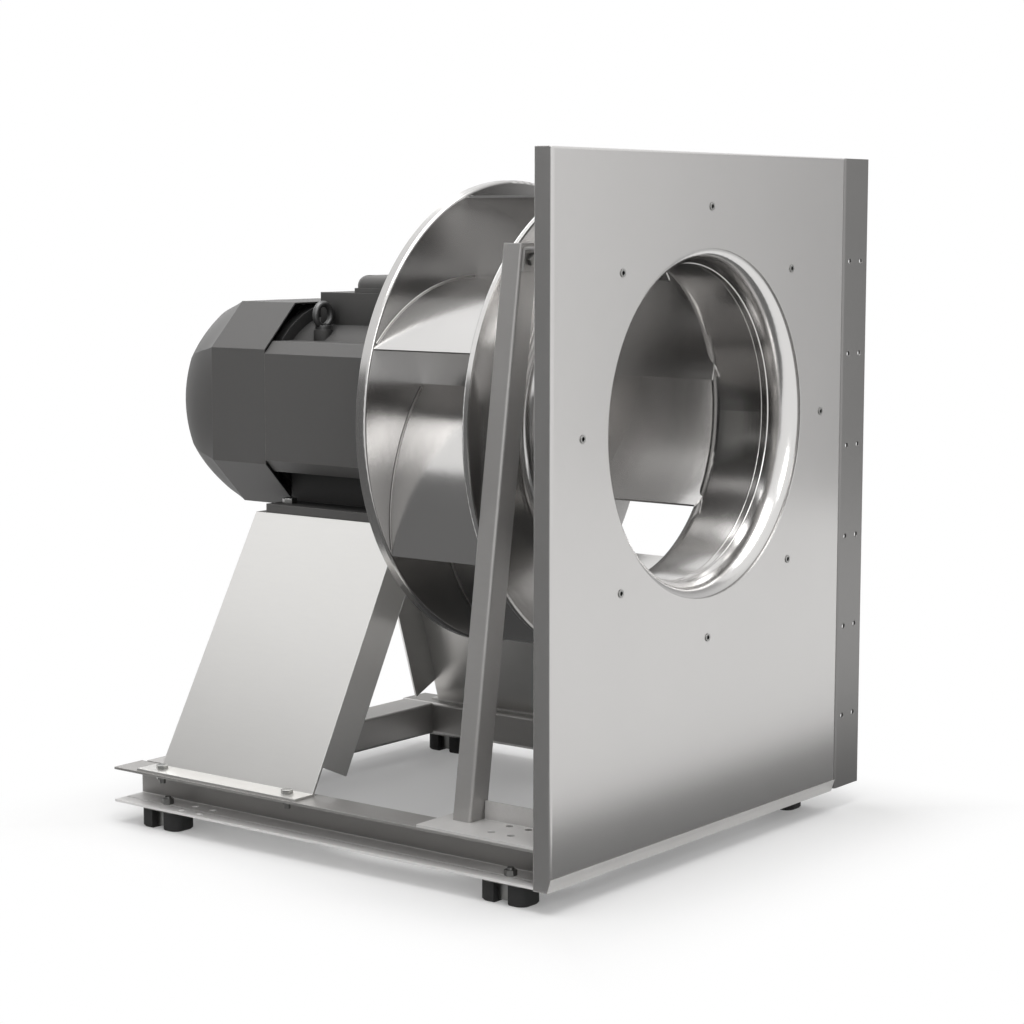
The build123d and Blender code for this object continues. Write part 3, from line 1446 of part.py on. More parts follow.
# Screws of the motor's covers: three in the cowl, four in the terminal box's lid
with BuildPart() as cover_screws:
    for turn in cover_screw_turns:
        with Locations(cowl_screw_plane(turn)):
            add(socket_screw(screw_r, screw_length))
    with Locations((0, box_y, lid_z + lid_height - lid_screw_sink)):
        with GridLocations(lid_screw_x, lid_screw_y, 2, 2):
            add(socket_screw(screw_r, lid_height - lid_screw_sink + box_height))
save(cover_screws.part, "cover_screws")
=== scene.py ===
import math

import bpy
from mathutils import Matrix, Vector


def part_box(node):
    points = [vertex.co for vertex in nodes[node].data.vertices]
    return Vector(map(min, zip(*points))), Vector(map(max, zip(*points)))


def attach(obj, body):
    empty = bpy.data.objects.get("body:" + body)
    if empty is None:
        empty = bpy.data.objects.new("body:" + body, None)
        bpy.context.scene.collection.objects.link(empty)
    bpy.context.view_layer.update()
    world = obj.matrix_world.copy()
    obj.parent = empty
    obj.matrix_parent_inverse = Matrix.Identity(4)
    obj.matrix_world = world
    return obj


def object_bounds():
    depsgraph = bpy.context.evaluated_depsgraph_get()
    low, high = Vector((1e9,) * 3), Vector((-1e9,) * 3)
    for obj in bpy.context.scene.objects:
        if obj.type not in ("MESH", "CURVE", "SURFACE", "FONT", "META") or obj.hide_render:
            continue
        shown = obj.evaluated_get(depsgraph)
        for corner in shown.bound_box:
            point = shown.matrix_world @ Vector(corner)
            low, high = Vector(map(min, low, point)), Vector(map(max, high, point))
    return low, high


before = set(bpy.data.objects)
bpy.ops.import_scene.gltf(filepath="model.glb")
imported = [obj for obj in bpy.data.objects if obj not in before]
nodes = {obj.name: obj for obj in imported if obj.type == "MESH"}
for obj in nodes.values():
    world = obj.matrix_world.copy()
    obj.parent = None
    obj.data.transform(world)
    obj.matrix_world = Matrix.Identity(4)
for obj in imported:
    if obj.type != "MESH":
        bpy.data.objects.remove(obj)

# %% [markdown]
# # A direct-drive plug fan
# The object is a centrifugal fan for an air handling unit. A motor on a folded pedestal turns a wheel
# of seven backward-curved blades behind a square plate, and air is drawn in through a spun nozzle.
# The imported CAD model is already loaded. Its shapes stay as they are, and this lesson gives each of
# them a finish, adds the small formed details that sheet-metal work leaves, and lights the scene.

cad_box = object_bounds()
print("nodes:", len(nodes), "CAD box:", cad_box)

# %% [markdown]
# ## Camera
# The photograph was taken from the front left, a little above the shaft, with a long lens. The place
# and the direction below were worked out from the straight edges of the plate and the base.

# %% The camera
CAMERA_AT = Vector((-2.3206, -1.5065, 0.2296))
LOOKS_ALONG = Vector((0.7856, 0.6071, -0.1193))
CAMERA_ROLL = math.radians(0.067)
bpy.ops.object.camera_add(location=CAMERA_AT)
camera = bpy.context.object
camera.name = "camera"
camera.data.lens = 84.70
camera.data.sensor_width = 36.0
camera.data.clip_end = 50.0
turn = LOOKS_ALONG.to_track_quat("-Z", "Y").to_matrix() @ Matrix.Rotation(CAMERA_ROLL, 3, "Z")
camera.rotation_euler = turn.to_euler()
bpy.context.scene.camera = camera
print("camera at", tuple(CAMERA_AT), "lens", camera.data.lens)

# %% [markdown]
# ## Light
# The studio is pale and plain. One wide lamp hangs above and gives bright top faces, a second one
# stands in front and to the left and lights the plate, and a weak one fills the back. The metal shows
# its shape by what it mirrors, so the last part of this lesson hangs cards for mirrored rays as well.

# %% Lamps
bpy.context.scene.view_settings.view_transform = "Standard"


def lamp(name, place, aim, side, watts):
    """A soft square lamp at place, pointed at aim."""
    bpy.ops.object.light_add(type="AREA", location=place)
    light = bpy.context.object
    light.name = name
    light.data.shape = "RECTANGLE"
    light.data.size = side
    light.data.size_y = side
    light.data.energy = watts
    light.rotation_euler = (Vector(aim) - Vector(place)).to_track_quat("-Z", "Y").to_euler()
    return light


lamps = [
    lamp("top_lamp", (-0.3, 0.2, 2.4), (0.0, 0.3, 0.0), side=2.4, watts=70),
    lamp("front_lamp", (-2.2, -2.8, 1.9), (0.0, 0.0, 0.0), side=1.6, watts=32),
    lamp("back_lamp", (1.2, 3.2, 1.6), (0.0, 0.4, 0.0), side=2.0, watts=22),
]
print("lamps:", [light.name for light in lamps])

# %% [markdown]
# ## Small helpers for node trees
# A finish is a short chain of nodes. These helpers add a node, set its named inputs and link them,
# so that the background and each finish below read like a recipe.

# %% Node helpers
def add_node(tree, kind, settings=None, links=None):
    """Adds a node. settings go to its inputs or properties, links come from other sockets."""
    node = tree.nodes.new(kind)
    for key, value in (settings or {}).items():
        if isinstance(key, str) and hasattr(node, key) and key not in node.inputs:
            setattr(node, key, value)
        else:
            node.inputs[key].default_value = value
    for key, socket in (links or {}).items():
        tree.links.new(socket, node.inputs[key])
    return node


def empty_material(name):
    """A material whose node tree is still empty."""
    made = bpy.data.materials.new(name)
    made.use_nodes = True
    made.node_tree.nodes.clear()
    return made


def effect_group(name, inputs, outputs):
    """An empty node group with named inputs (name, kind, value) and outputs (name, kind)."""
    group = bpy.data.node_groups.new(name, "ShaderNodeTree")
    for label, kind, value in inputs:
        socket = group.interface.new_socket(name=label, in_out="INPUT", socket_type=kind)
        socket.default_value = value
    for label, kind in outputs:
        group.interface.new_socket(name=label, in_out="OUTPUT", socket_type=kind)
    start = group.nodes.new("NodeGroupInput")
    end = group.nodes.new("NodeGroupOutput")
    return group, start, end


def seen_directly(tree):
    """1 for a camera ray, a mirrored ray or a ray through glass, and 0 for every other ray."""
    rays = add_node(tree, "ShaderNodeLightPath")
    either = add_node(
        tree, "ShaderNodeMath", {"operation": "MAXIMUM"},
        {0: rays.outputs["Is Camera Ray"], 1: rays.outputs["Is Glossy Ray"]},
    )
    return add_node(
        tree, "ShaderNodeMath", {"operation": "MAXIMUM"},
        {0: either.outputs[0], 1: rays.outputs["Is Transmission Ray"]},
    ).outputs[0]


print("helpers ready")

# %% [markdown]
# ## Background
# A camera ray, a mirrored ray and a ray through glass all see plain white. Every other ray sees a
# weak grey, so the background adds little light of its own and colours stay as they are written.

# %% The world
world = bpy.data.worlds.new("studio")
bpy.context.scene.world = world
world.use_nodes = True
sky = world.node_tree
sky.nodes.clear()
weak = add_node(sky, "ShaderNodeBackground", {"Color": (1.0, 0.99, 0.98, 1.0), "Strength": 0.32})
plain = add_node(sky, "ShaderNodeBackground", {"Color": (1.0, 1.0, 1.0, 1.0), "Strength": 1.0})
choose = add_node(
    sky, "ShaderNodeMixShader", None,
    {"Fac": seen_directly(sky), 1: weak.outputs[0], 2: plain.outputs[0]},
)
add_node(sky, "ShaderNodeOutputWorld", None, {"Surface": choose.outputs[0]})
print("world ready")

# %% [markdown]
# ## Shared effect: sheet metal grain
# Rolled sheet is never perfectly even. Fine lines run along the rolling direction, wide soft clouds
# change the tone a little, and small specks catch the light. One node group makes all three from
# Object coordinates, and each finish sets how strong they are and how the lines are stretched.

# %% The grain group
FLOAT, VECTOR = "NodeSocketFloat", "NodeSocketVector"
grain, g_in, g_out = effect_group(
    "sheet_grain",
    [
        ("Stretch", VECTOR, (1.0, 1.0, 1.0)),
        ("Lines", FLOAT, 0.5),
        ("Clouds", FLOAT, 0.5),
        ("Specks", FLOAT, 0.3),
    ],
    [("Tone", FLOAT), ("Gloss change", FLOAT), ("Height", FLOAT)],
)
where = add_node(grain, "ShaderNodeTexCoord")
stretched = add_node(
    grain, "ShaderNodeVectorMath", {"operation": "MULTIPLY"},
    {0: where.outputs["Object"], 1: g_in.outputs["Stretch"]},
)
lines = add_node(
    grain, "ShaderNodeTexNoise", {"Scale": 260.0, "Detail": 4.0, "Roughness": 0.6},
    {"Vector": stretched.outputs[0]},
)
clouds = add_node(
    grain, "ShaderNodeTexNoise", {"Scale": 7.0, "Detail": 3.0, "Roughness": 0.5},
    {"Vector": where.outputs["Object"]},
)
specks = add_node(
    grain, "ShaderNodeTexNoise", {"Scale": 900.0, "Detail": 2.0, "Roughness": 0.7},
    {"Vector": where.outputs["Object"]},
)


def about_zero(tree, socket, amount):
    """(socket - 0.5) * amount"""
    centred = add_node(tree, "ShaderNodeMath", {"operation": "SUBTRACT", 1: 0.5}, {0: socket})
    return add_node(
        tree, "ShaderNodeMath", {"operation": "MULTIPLY"}, {0: centred.outputs[0], 1: amount}
    ).outputs[0]


def total(tree, *sockets):
    """The sum of several values."""
    result = sockets[0]
    for socket in sockets[1:]:
        added = add_node(tree, "ShaderNodeMath", {"operation": "ADD"}, {0: result, 1: socket})
        result = added.outputs[0]
    return result


line_part = about_zero(grain, lines.outputs["Fac"], g_in.outputs["Lines"])
cloud_part = about_zero(grain, clouds.outputs["Fac"], g_in.outputs["Clouds"])
speck_part = about_zero(grain, specks.outputs["Fac"], g_in.outputs["Specks"])
grain.links.new(total(grain, line_part, cloud_part, speck_part), g_out.inputs["Tone"])
grain.links.new(total(grain, cloud_part, line_part), g_out.inputs["Gloss change"])
grain.links.new(total(grain, line_part, speck_part), g_out.inputs["Height"])
print("group:", grain.name, len(grain.nodes), "nodes")

# %% [markdown]
# ## Shared effect: worn edges
# Handling polishes an edge or knocks the paint off it. The Bevel node rounds the normal near an edge,
# so the angle between it and the true normal marks the edge. A noise breaks the mark up, because wear
# is never even. The rounded normal is passed on too: no real edge is perfectly sharp.

# %% The edge group
edges, e_in, e_out = effect_group(
    "edge_wear",
    [("Radius", FLOAT, 0.001), ("Amount", FLOAT, 0.5), ("Patchiness", FLOAT, 60.0)],
    [("Worn", FLOAT), ("Normal", VECTOR)],
)
rounded = add_node(edges, "ShaderNodeBevel", {"samples": 6}, {"Radius": e_in.outputs["Radius"]})
flat = add_node(edges, "ShaderNodeNewGeometry")
alike = add_node(
    edges, "ShaderNodeVectorMath", {"operation": "DOT_PRODUCT"},
    {0: rounded.outputs["Normal"], 1: flat.outputs["Normal"]},
)
edge = add_node(
    edges, "ShaderNodeMapRange", {"From Min": 0.995, "From Max": 0.80},
    {"Value": alike.outputs["Value"]},
)
edge_spot = add_node(edges, "ShaderNodeTexCoord")
patches = add_node(
    edges, "ShaderNodeTexNoise", {"Detail": 4.0, "Roughness": 0.65},
    {"Vector": edge_spot.outputs["Object"], "Scale": e_in.outputs["Patchiness"]},
)
broken = add_node(
    edges, "ShaderNodeMapRange", {"From Min": 0.35, "From Max": 0.6},
    {"Value": patches.outputs["Fac"]},
)
marked = add_node(
    edges, "ShaderNodeMath", {"operation": "MULTIPLY"},
    {0: edge.outputs[0], 1: broken.outputs[0]},
)
worn = add_node(
    edges, "ShaderNodeMath", {"operation": "MULTIPLY", "use_clamp": True},
    {0: marked.outputs[0], 1: e_in.outputs["Amount"]},
)
edges.links.new(worn.outputs[0], e_out.inputs["Worn"])
edges.links.new(rounded.outputs["Normal"], e_out.inputs["Normal"])
print("group:", edges.name, len(edges.nodes), "nodes")

# %% [markdown]
# ## Shared effect: painted shade in corners
# Folded sheet looks darkest deep in a corner or a recess, where shade falls, and this group paints
# that shade into the colour. The Ambient Occlusion node measures how open each spot is, and the group
# turns that into a share that the colour is multiplied by.

# %% The painted shade group
painted_shade_group, h_in, h_out = effect_group(
    "painted_hollow_shade", [("Reach", FLOAT, 0.1), ("Depth", FLOAT, 0.5)], [("Shade", FLOAT)]
)
openness = add_node(
    painted_shade_group, "ShaderNodeAmbientOcclusion", {"samples": 6}, {"Distance": h_in.outputs["Reach"]}
)
closed = add_node(
    painted_shade_group, "ShaderNodeMapRange",
    {"interpolation_type": "SMOOTHSTEP", "From Min": 0.95, "From Max": 0.25},
    {"Value": openness.outputs["AO"]},
)
deep = add_node(
    painted_shade_group, "ShaderNodeMath", {"operation": "MULTIPLY"},
    {0: closed.outputs[0], 1: h_in.outputs["Depth"]},
)
shade = add_node(
    painted_shade_group, "ShaderNodeMath", {"operation": "SUBTRACT", 0: 1.0}, {1: deep.outputs[0]}
)
painted_shade_group.links.new(shade.outputs[0], h_out.inputs["Shade"])
print("group:", painted_shade_group.name, len(painted_shade_group.nodes), "nodes")

# %% [markdown]
# ## Shared effect: forming rings
# A spun or pressed ring keeps shallow waves from the forming roller, all of them round the shaft axis.
# The group measures the distance from that axis, which is the object's own Y, and draws a noise that
# changes only with this distance and with the depth. Its height bends the reflections into rings.

# %% The ring group
rings, r_in, r_out = effect_group("spun_rings", [("Pitch", FLOAT, 60.0)], [("Height", FLOAT)])
ring_spot = add_node(rings, "ShaderNodeTexCoord")
axes = add_node(rings, "ShaderNodeSeparateXYZ", None, {"Vector": ring_spot.outputs["Object"]})
across_shaft = add_node(
    rings, "ShaderNodeCombineXYZ", None, {"X": axes.outputs["X"], "Y": axes.outputs["Z"]}
)
radius = add_node(
    rings, "ShaderNodeVectorMath", {"operation": "LENGTH"}, {0: across_shaft.outputs[0]}
)
around = add_node(
    rings, "ShaderNodeCombineXYZ", None, {"X": radius.outputs["Value"], "Y": axes.outputs["Y"]}
)
waves = add_node(
    rings, "ShaderNodeTexNoise", {"Detail": 3.0, "Roughness": 0.45},
    {"Vector": around.outputs[0], "Scale": r_in.outputs["Pitch"]},
)
rings.links.new(waves.outputs["Fac"], r_out.inputs["Height"])
print("group:", rings.name, len(rings.nodes), "nodes")

# %% [markdown]
# ## One recipe for all the metals and paints
# Each finish has a base colour, a colour where it is worn, a gloss, its own grain and edge settings,
# and a painted shade that darkens its colour in corners and recesses. The shader itself stays in the
# material, and only masks and heights come from the groups.
# A spun part gets forming rings in its height, and every other part gets rounded edges.

# %% The recipe
GRAIN_INPUTS = ("Stretch", "Lines", "Clouds", "Specks")
EDGE_INPUTS = ("Radius", "Amount", "Patchiness")
PAINTED_SHADE_INPUTS = ("Reach", "Depth")
GRAIN_DEPTH = 0.0004  # metres that the grain's height stands for
RING_DEPTH = 0.001
GLOSS_SHARE = 0.35  # how far the grain changes the roughness
EVEN = (1.0, 1.0, 1.0)  # a stretch that favours no direction
finishes = []


def finish(
    name, colour, worn_colour, metallic, roughness, grain_set, edge_set, bump,
    painted_shade_set=(0.06, 0.5), ring_bump=0.0,
):
    """A material. The three sets hold the values of the groups' inputs, in the order above."""
    made = empty_material(name)
    tree = made.node_tree
    grain_node = add_node(
        tree, "ShaderNodeGroup", {"node_tree": grain, **dict(zip(GRAIN_INPUTS, grain_set))}
    )
    edge_node = add_node(
        tree, "ShaderNodeGroup", {"node_tree": edges, **dict(zip(EDGE_INPUTS, edge_set))}
    )
    painted_shade_node = add_node(
        tree, "ShaderNodeGroup", {"node_tree": painted_shade_group, **dict(zip(PAINTED_SHADE_INPUTS, painted_shade_set))}
    )
    tone = add_node(
        tree, "ShaderNodeMath", {"operation": "ADD", 1: 1.0}, {0: grain_node.outputs["Tone"]}
    )
    toned = add_node(
        tree, "ShaderNodeVectorMath", {"operation": "SCALE", 0: colour}, {"Scale": tone.outputs[0]}
    )
    mixed = add_node(
        tree, "ShaderNodeMix", {"data_type": "RGBA", 7: (*worn_colour, 1.0)},
        {0: edge_node.outputs["Worn"], 6: toned.outputs[0]},
    )
    # painted shade: the colour is multiplied by the group's Shade, darker in corners and recesses
    shaded_colour = add_node(
        tree, "ShaderNodeVectorMath", {"operation": "SCALE"},
        {0: mixed.outputs[2], "Scale": painted_shade_node.outputs["Shade"]},
    )
    gloss = add_node(
        tree, "ShaderNodeMath",
        {"operation": "MULTIPLY_ADD", 1: GLOSS_SHARE, 2: roughness, "use_clamp": True},
        {0: grain_node.outputs["Gloss change"]},
    )
    relief = add_node(
        tree, "ShaderNodeBump", {"Strength": bump, "Distance": GRAIN_DEPTH},
        {"Height": grain_node.outputs["Height"]},
    )
    if ring_bump:
        ring_node = add_node(tree, "ShaderNodeGroup", {"node_tree": rings})
        relief = add_node(
            tree, "ShaderNodeBump", {"Strength": ring_bump, "Distance": RING_DEPTH},
            {"Height": ring_node.outputs["Height"], "Normal": relief.outputs["Normal"]},
        )
    else:
        tree.links.new(edge_node.outputs["Normal"], relief.inputs["Normal"])
    shader = add_node(
        tree, "ShaderNodeBsdfPrincipled", {"Metallic": metallic},
        {
            "Base Color": shaded_colour.outputs[0],
            "Roughness": gloss.outputs[0],
            "Normal": relief.outputs["Normal"],
        },
    )
    add_node(tree, "ShaderNodeOutputMaterial", None, {"Surface": shader.outputs[0]})
    finishes.append(made)
    return made


def give(material, *names):
    """Puts one material in every slot of the named CAD nodes."""
    for name in names:
        mesh = nodes[name].data
        if not mesh.materials:
            mesh.materials.append(material)
        for index in range(len(mesh.materials)):
            nodes[name].material_slots[index].material = material
    print(material.name, "on", len(names), "nodes")


# %% [markdown]
# ## Coated sheet of the plate and the strip
# The front plate is folded from coated steel sheet with a soft sheen, so a broad highlight fades
# across it. The coating holds fine metal flakes, so both sheets mirror nearly as bare metal does.

# %% The plate's coat
plate_coat = finish(
    "plate_coat", (0.60, 0.59, 0.58), (0.78, 0.77, 0.76), metallic=0.9, roughness=0.25,
    grain_set=((1.0, 1.0, 0.12), 0.05, 0.05, 0.04), edge_set=(0.0012, 0.5, 70.0), bump=0.03,
)
give(plate_coat, "front_plate")
strip_coat = finish(
    "strip_coat", (0.265, 0.26, 0.255), (0.5, 0.5, 0.5), metallic=0.85, roughness=0.42,
    grain_set=((1.0, 1.0, 0.12), 0.05, 0.06, 0.06), edge_set=(0.0012, 0.5, 70.0), bump=0.05,
)
give(strip_coat, "side_strip")

# %% [markdown]
# ## Spun steel of the nozzle and the wheel
# The nozzle and the wheel are pressed and spun from bright sheet. Spinning leaves faint rings round
# the axis, and the surface mirrors its surroundings softly.

# %% Bright sheet
nozzle_steel = finish(
    "nozzle_steel", (0.69, 0.68, 0.67), (0.88, 0.88, 0.87), metallic=1.0, roughness=0.17,
    grain_set=((1.0, 4.0, 1.0), 0.02, 0.05, 0.0), edge_set=(0.0012, 0.6, 40.0), bump=0.01,
    painted_shade_set=(0.05, 0.6), ring_bump=0.35,
)
give(nozzle_steel, "inlet_nozzle")
wheel_steel = finish(
    "wheel_steel", (0.70, 0.69, 0.68), (0.86, 0.86, 0.84), metallic=1.0, roughness=0.18,
    grain_set=((1.0, 3.0, 1.0), 0.02, 0.08, 0.0), edge_set=(0.0015, 0.8, 30.0), bump=0.01,
    painted_shade_set=(0.10, 0.15), ring_bump=0.12,
)
give(wheel_steel, "impeller_shroud", *[f"impeller_blade_{number}" for number in range(1, 8)])
back_plate_steel = finish(
    "back_plate_steel", (0.58, 0.57, 0.56), (0.84, 0.84, 0.82), metallic=1.0, roughness=0.22,
    grain_set=((1.0, 3.0, 1.0), 0.02, 0.08, 0.0), edge_set=(0.0015, 0.8, 30.0), bump=0.01,
    painted_shade_set=(0.30, 0.60), ring_bump=0.12,
)
give(back_plate_steel, "impeller_back_plate")

# %% [markdown]
# ## Galvanised members of the base
# Rails, cross-members, struts and brackets are folded from galvanised sheet, which is duller and
# shows a soft patchy bloom. Its lines run along Y, the way that the rails lie.

# %% Galvanised sheet
frame_steel = finish(
    "frame_steel", (0.52, 0.51, 0.50), (0.70, 0.70, 0.68), metallic=0.7, roughness=0.42,
    grain_set=((1.0, 0.15, 1.0), 0.06, 0.12, 0.05), edge_set=(0.0010, 0.6, 60.0), bump=0.05,
    painted_shade_set=(0.08, 0.3),
)
give(
    frame_steel, "cross_member_front", "cross_member_rear", "strut_left", "strut_right",
    "strut_top_brackets", "pedestal_tie",
)
RAIL_METALLIC = 0.65
rail_steel = finish(
    "rail_steel", (0.41, 0.40, 0.39), (0.74, 0.74, 0.72), metallic=RAIL_METALLIC, roughness=0.40,
    grain_set=((1.0, 0.15, 1.0), 0.05, 0.10, 0.05), edge_set=(0.0010, 0.6, 60.0), bump=0.05,
    painted_shade_set=(0.03, 0.3),
)
give(rail_steel, "rail_left", "rail_right")

# %% [markdown]
# The lower flange of each rail is painted paler and less metallic than the web above it: painted light
# that stands for the light falling on the flange. The recipe's colour is mixed once more, by the
# height of the spot above the floor.

# %% Painted light on the lower flange
FLANGE_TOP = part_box("rail_left")[0][2] + 0.0045
FLANGE_BLUR = 0.001
FLANGE_PAINTED_LIGHT = (0.80, 0.79, 0.78, 1.0)
FLANGE_METALLIC = 0.15
rail_tree = rail_steel.node_tree
rail_shader = next(node for node in rail_tree.nodes if node.type == "BSDF_PRINCIPLED")
rail_spot = add_node(rail_tree, "ShaderNodeTexCoord")
rail_axes = add_node(
    rail_tree, "ShaderNodeSeparateXYZ", None, {"Vector": rail_spot.outputs["Object"]}
)
below = add_node(
    rail_tree, "ShaderNodeMapRange", {"From Min": FLANGE_TOP, "From Max": FLANGE_TOP - FLANGE_BLUR},
    {"Value": rail_axes.outputs["Z"]},
)
# painted light: the colour turns paler below the flange's top
pale = add_node(
    rail_tree, "ShaderNodeMix", {"data_type": "RGBA", 7: FLANGE_PAINTED_LIGHT},
    {0: below.outputs[0], 6: rail_shader.inputs["Base Color"].links[0].from_socket},
)
duller = add_node(
    rail_tree, "ShaderNodeMapRange", {"To Min": RAIL_METALLIC, "To Max": FLANGE_METALLIC},
    {"Value": below.outputs[0]},
)
rail_tree.links.new(pale.outputs[2], rail_shader.inputs["Base Color"])
rail_tree.links.new(duller.outputs[0], rail_shader.inputs["Metallic"])
print("pale below", round(FLANGE_TOP, 4))

# %% [markdown]
# The pedestal's two sides and the corner plates are of brighter sheet than the rest of the base.

# %% Brighter sheet
pedestal_sheet = finish(
    "pedestal_sheet", (0.84, 0.83, 0.81), (0.90, 0.90, 0.88), metallic=0.9, roughness=0.32,
    grain_set=((1.0, 0.15, 1.0), 0.03, 0.04, 0.03), edge_set=(0.0010, 0.5, 60.0), bump=0.03,
    painted_shade_set=(0.02, 0.2),
)
give(pedestal_sheet, "pedestal_side_left", "pedestal_side_right")
hem_zinc = finish(
    "hem_zinc", (0.66, 0.65, 0.64), (0.8, 0.8, 0.78), metallic=0.3, roughness=0.45,
    grain_set=((0.1, 1.0, 1.0), 0.10, 0.08, 0.05), edge_set=(0.0004, 0.5, 90.0), bump=0.05,
    painted_shade_set=(0.01, 0.2),
)
give(hem_zinc, "corner_plate_left", "corner_plate_right")

# %% [markdown]
# ## The motor's paint
# Cast and folded parts of the motor carry one dark grey satin paint, slightly rough like all paint
# over a casting.

# %% Motor paint and plastic
motor_paint = finish(
    "motor_paint", (0.092, 0.090, 0.088), (0.28, 0.28, 0.27), metallic=0.0, roughness=0.55,
    grain_set=(EVEN, 0.08, 0.10, 0.10), edge_set=(0.0012, 0.5, 45.0), bump=0.15,
    painted_shade_set=(0.09, 0.95),
)
give(
    motor_paint, "motor_frame", "drive_end_shield", "rear_end_shield", "fan_cowl", "terminal_box",
    "terminal_box_lid",
)
dark_plastic = finish(
    "dark_plastic", (0.035, 0.035, 0.036), (0.09, 0.09, 0.09), metallic=0.0, roughness=0.55,
    grain_set=(EVEN, 0.08, 0.10, 0.20), edge_set=(0.0008, 0.4, 80.0), bump=0.2,
)
give(dark_plastic, "cooling_fan", "terminal_board", "cable_gland")

# %% [markdown]
# ## Machined and plated small parts
# Bolts, nuts and inserts are zinc plated. The hub and its bush are dark castings, and the shaft and
# the bearings are turned steel. Hidden pieces get finishes as well, because the fan can be opened.

# %% Small parts
zinc_plate = finish(
    "zinc_plate", (0.36, 0.36, 0.35), (0.7, 0.7, 0.68), metallic=1.0, roughness=0.32,
    grain_set=(EVEN, 0.10, 0.10, 0.10), edge_set=(0.0005, 0.7, 120.0), bump=0.12,
)
give(
    zinc_plate, "nozzle_inserts", "hub_bolts", "bush_screws", "shaft_end_washer", "shaft_end_bolt",
    "motor_foot_bolts", "pedestal_bolts", "strut_bolts", "strip_bolts", "end_shield_bolts",
    "cover_screws", "isolator_bolts", "isolator_brackets",
)
eye_steel = finish(
    "eye_steel", (0.12, 0.12, 0.12), (0.4, 0.4, 0.4), metallic=0.8, roughness=0.4,
    grain_set=(EVEN, 0.10, 0.10, 0.15), edge_set=(0.0008, 0.6, 80.0), bump=0.2,
)
give(eye_steel, "lifting_eye")
hub_casting = finish(
    "hub_casting", (0.13, 0.13, 0.13), (0.4, 0.4, 0.4), metallic=0.6, roughness=0.5,
    grain_set=(EVEN, 0.12, 0.15, 0.25), edge_set=(0.0010, 0.6, 60.0), bump=0.35,
)
give(hub_casting, "impeller_hub", "taper_bush")
turned_steel = finish(
    "turned_steel", (0.58, 0.58, 0.58), (0.8, 0.8, 0.8), metallic=1.0, roughness=0.25,
    grain_set=((1.0, 6.0, 1.0), 0.10, 0.05, 0.05), edge_set=(0.0006, 0.5, 90.0), bump=0.1,
)
give(
    turned_steel, "motor_shaft", "shaft_key", "bearing_outer_rings", "bearing_inner_rings",
    "bearing_balls",
)
core_sheets = finish(
    "core_sheets", (0.30, 0.30, 0.31), (0.5, 0.5, 0.5), metallic=0.9, roughness=0.5,
    grain_set=((1.0, 8.0, 1.0), 0.30, 0.10, 0.10), edge_set=(0.0006, 0.5, 90.0), bump=0.4,
)
give(core_sheets, "rotor_core", "stator_core")
winding_wire = finish(
    "winding_wire", (0.50, 0.22, 0.10), (0.7, 0.4, 0.2), metallic=0.6, roughness=0.35,
    grain_set=((8.0, 1.0, 1.0), 0.50, 0.10, 0.10), edge_set=(0.0006, 0.3, 90.0), bump=0.6,
)
give(winding_wire, "winding_heads")
cage_brass = finish(
    "cage_brass", (0.62, 0.47, 0.22), (0.8, 0.65, 0.4), metallic=1.0, roughness=0.32,
    grain_set=((1.0, 4.0, 1.0), 0.10, 0.05, 0.05), edge_set=(0.0005, 0.5, 90.0), bump=0.1,
)
give(cage_brass, "bearing_cages")

# %% [markdown]
# ## Rubber of the anti-vibration feet
# Moulded rubber is dark and dull with a faint bloom. It is rougher than plastic.

# %% Rubber
foot_rubber = finish(
    "foot_rubber", (0.022, 0.022, 0.022), (0.07, 0.07, 0.07), metallic=0.0, roughness=0.75,
    grain_set=(EVEN, 0.10, 0.20, 0.30), edge_set=(0.0010, 0.5, 80.0), bump=0.4,
)
give(foot_rubber, "isolator_rubbers")
bare = [
    name for name in nodes
    if not any(slot.material in finishes for slot in nodes[name].material_slots)
]
print("nodes without a finish:", bare)

# %% [markdown]
# ## Helpers for the added pieces
# The small pieces below are started from a primitive and shaped in edit mode, as by hand. Selecting
# happens in code, by where a face lies. Each object is left at the origin with its place in its mesh.

# %% Modelling helpers
WELD_DISTANCE = 0.00002


def start_piece(name):
    """Names the piece just added, and moves its place, turn and scale into its mesh."""
    piece = bpy.context.object
    piece.name = name
    piece.data.name = name
    bpy.ops.object.transform_apply(location=True, rotation=True, scale=True)
    return piece


def pick_faces(piece, test):
    """In edit mode, selects the faces for which test holds at their middle."""
    bpy.ops.object.mode_set(mode="EDIT")
    bpy.ops.mesh.select_mode(type="FACE")
    bpy.ops.mesh.select_all(action="DESELECT")
    bpy.ops.object.mode_set(mode="OBJECT")
    for face in piece.data.polygons:
        face.select = test(face.center)
    bpy.ops.object.mode_set(mode="EDIT")


def soften(piece, width):
    """Rounds the piece's edges with a bevel that is applied, and shades it smooth by angle."""
    bpy.ops.object.mode_set(mode="OBJECT")
    rounding = piece.modifiers.new("rounding", "BEVEL")
    rounding.width = width
    rounding.segments = 2
    rounding.limit_method = "ANGLE"
    bpy.ops.object.modifier_apply(modifier="rounding")
    bpy.ops.object.shade_smooth_by_angle(angle=math.radians(40.0))


def close_spin():
    """After a spin: joins the points that meet, turns all faces outwards and leaves edit mode."""
    bpy.ops.mesh.select_all(action="SELECT")
    bpy.ops.mesh.remove_doubles(threshold=WELD_DISTANCE)
    bpy.ops.mesh.normals_make_consistent(inside=False)
    bpy.ops.object.mode_set(mode="OBJECT")


def dress(piece, material, body):
    """Gives the piece its finish in a material slot of its own, and its body."""
    piece.data.materials.clear()
    piece.data.materials.append(material)
    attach(piece, body)
    print(piece.name, "on", body, "faces:", len(piece.data.polygons))


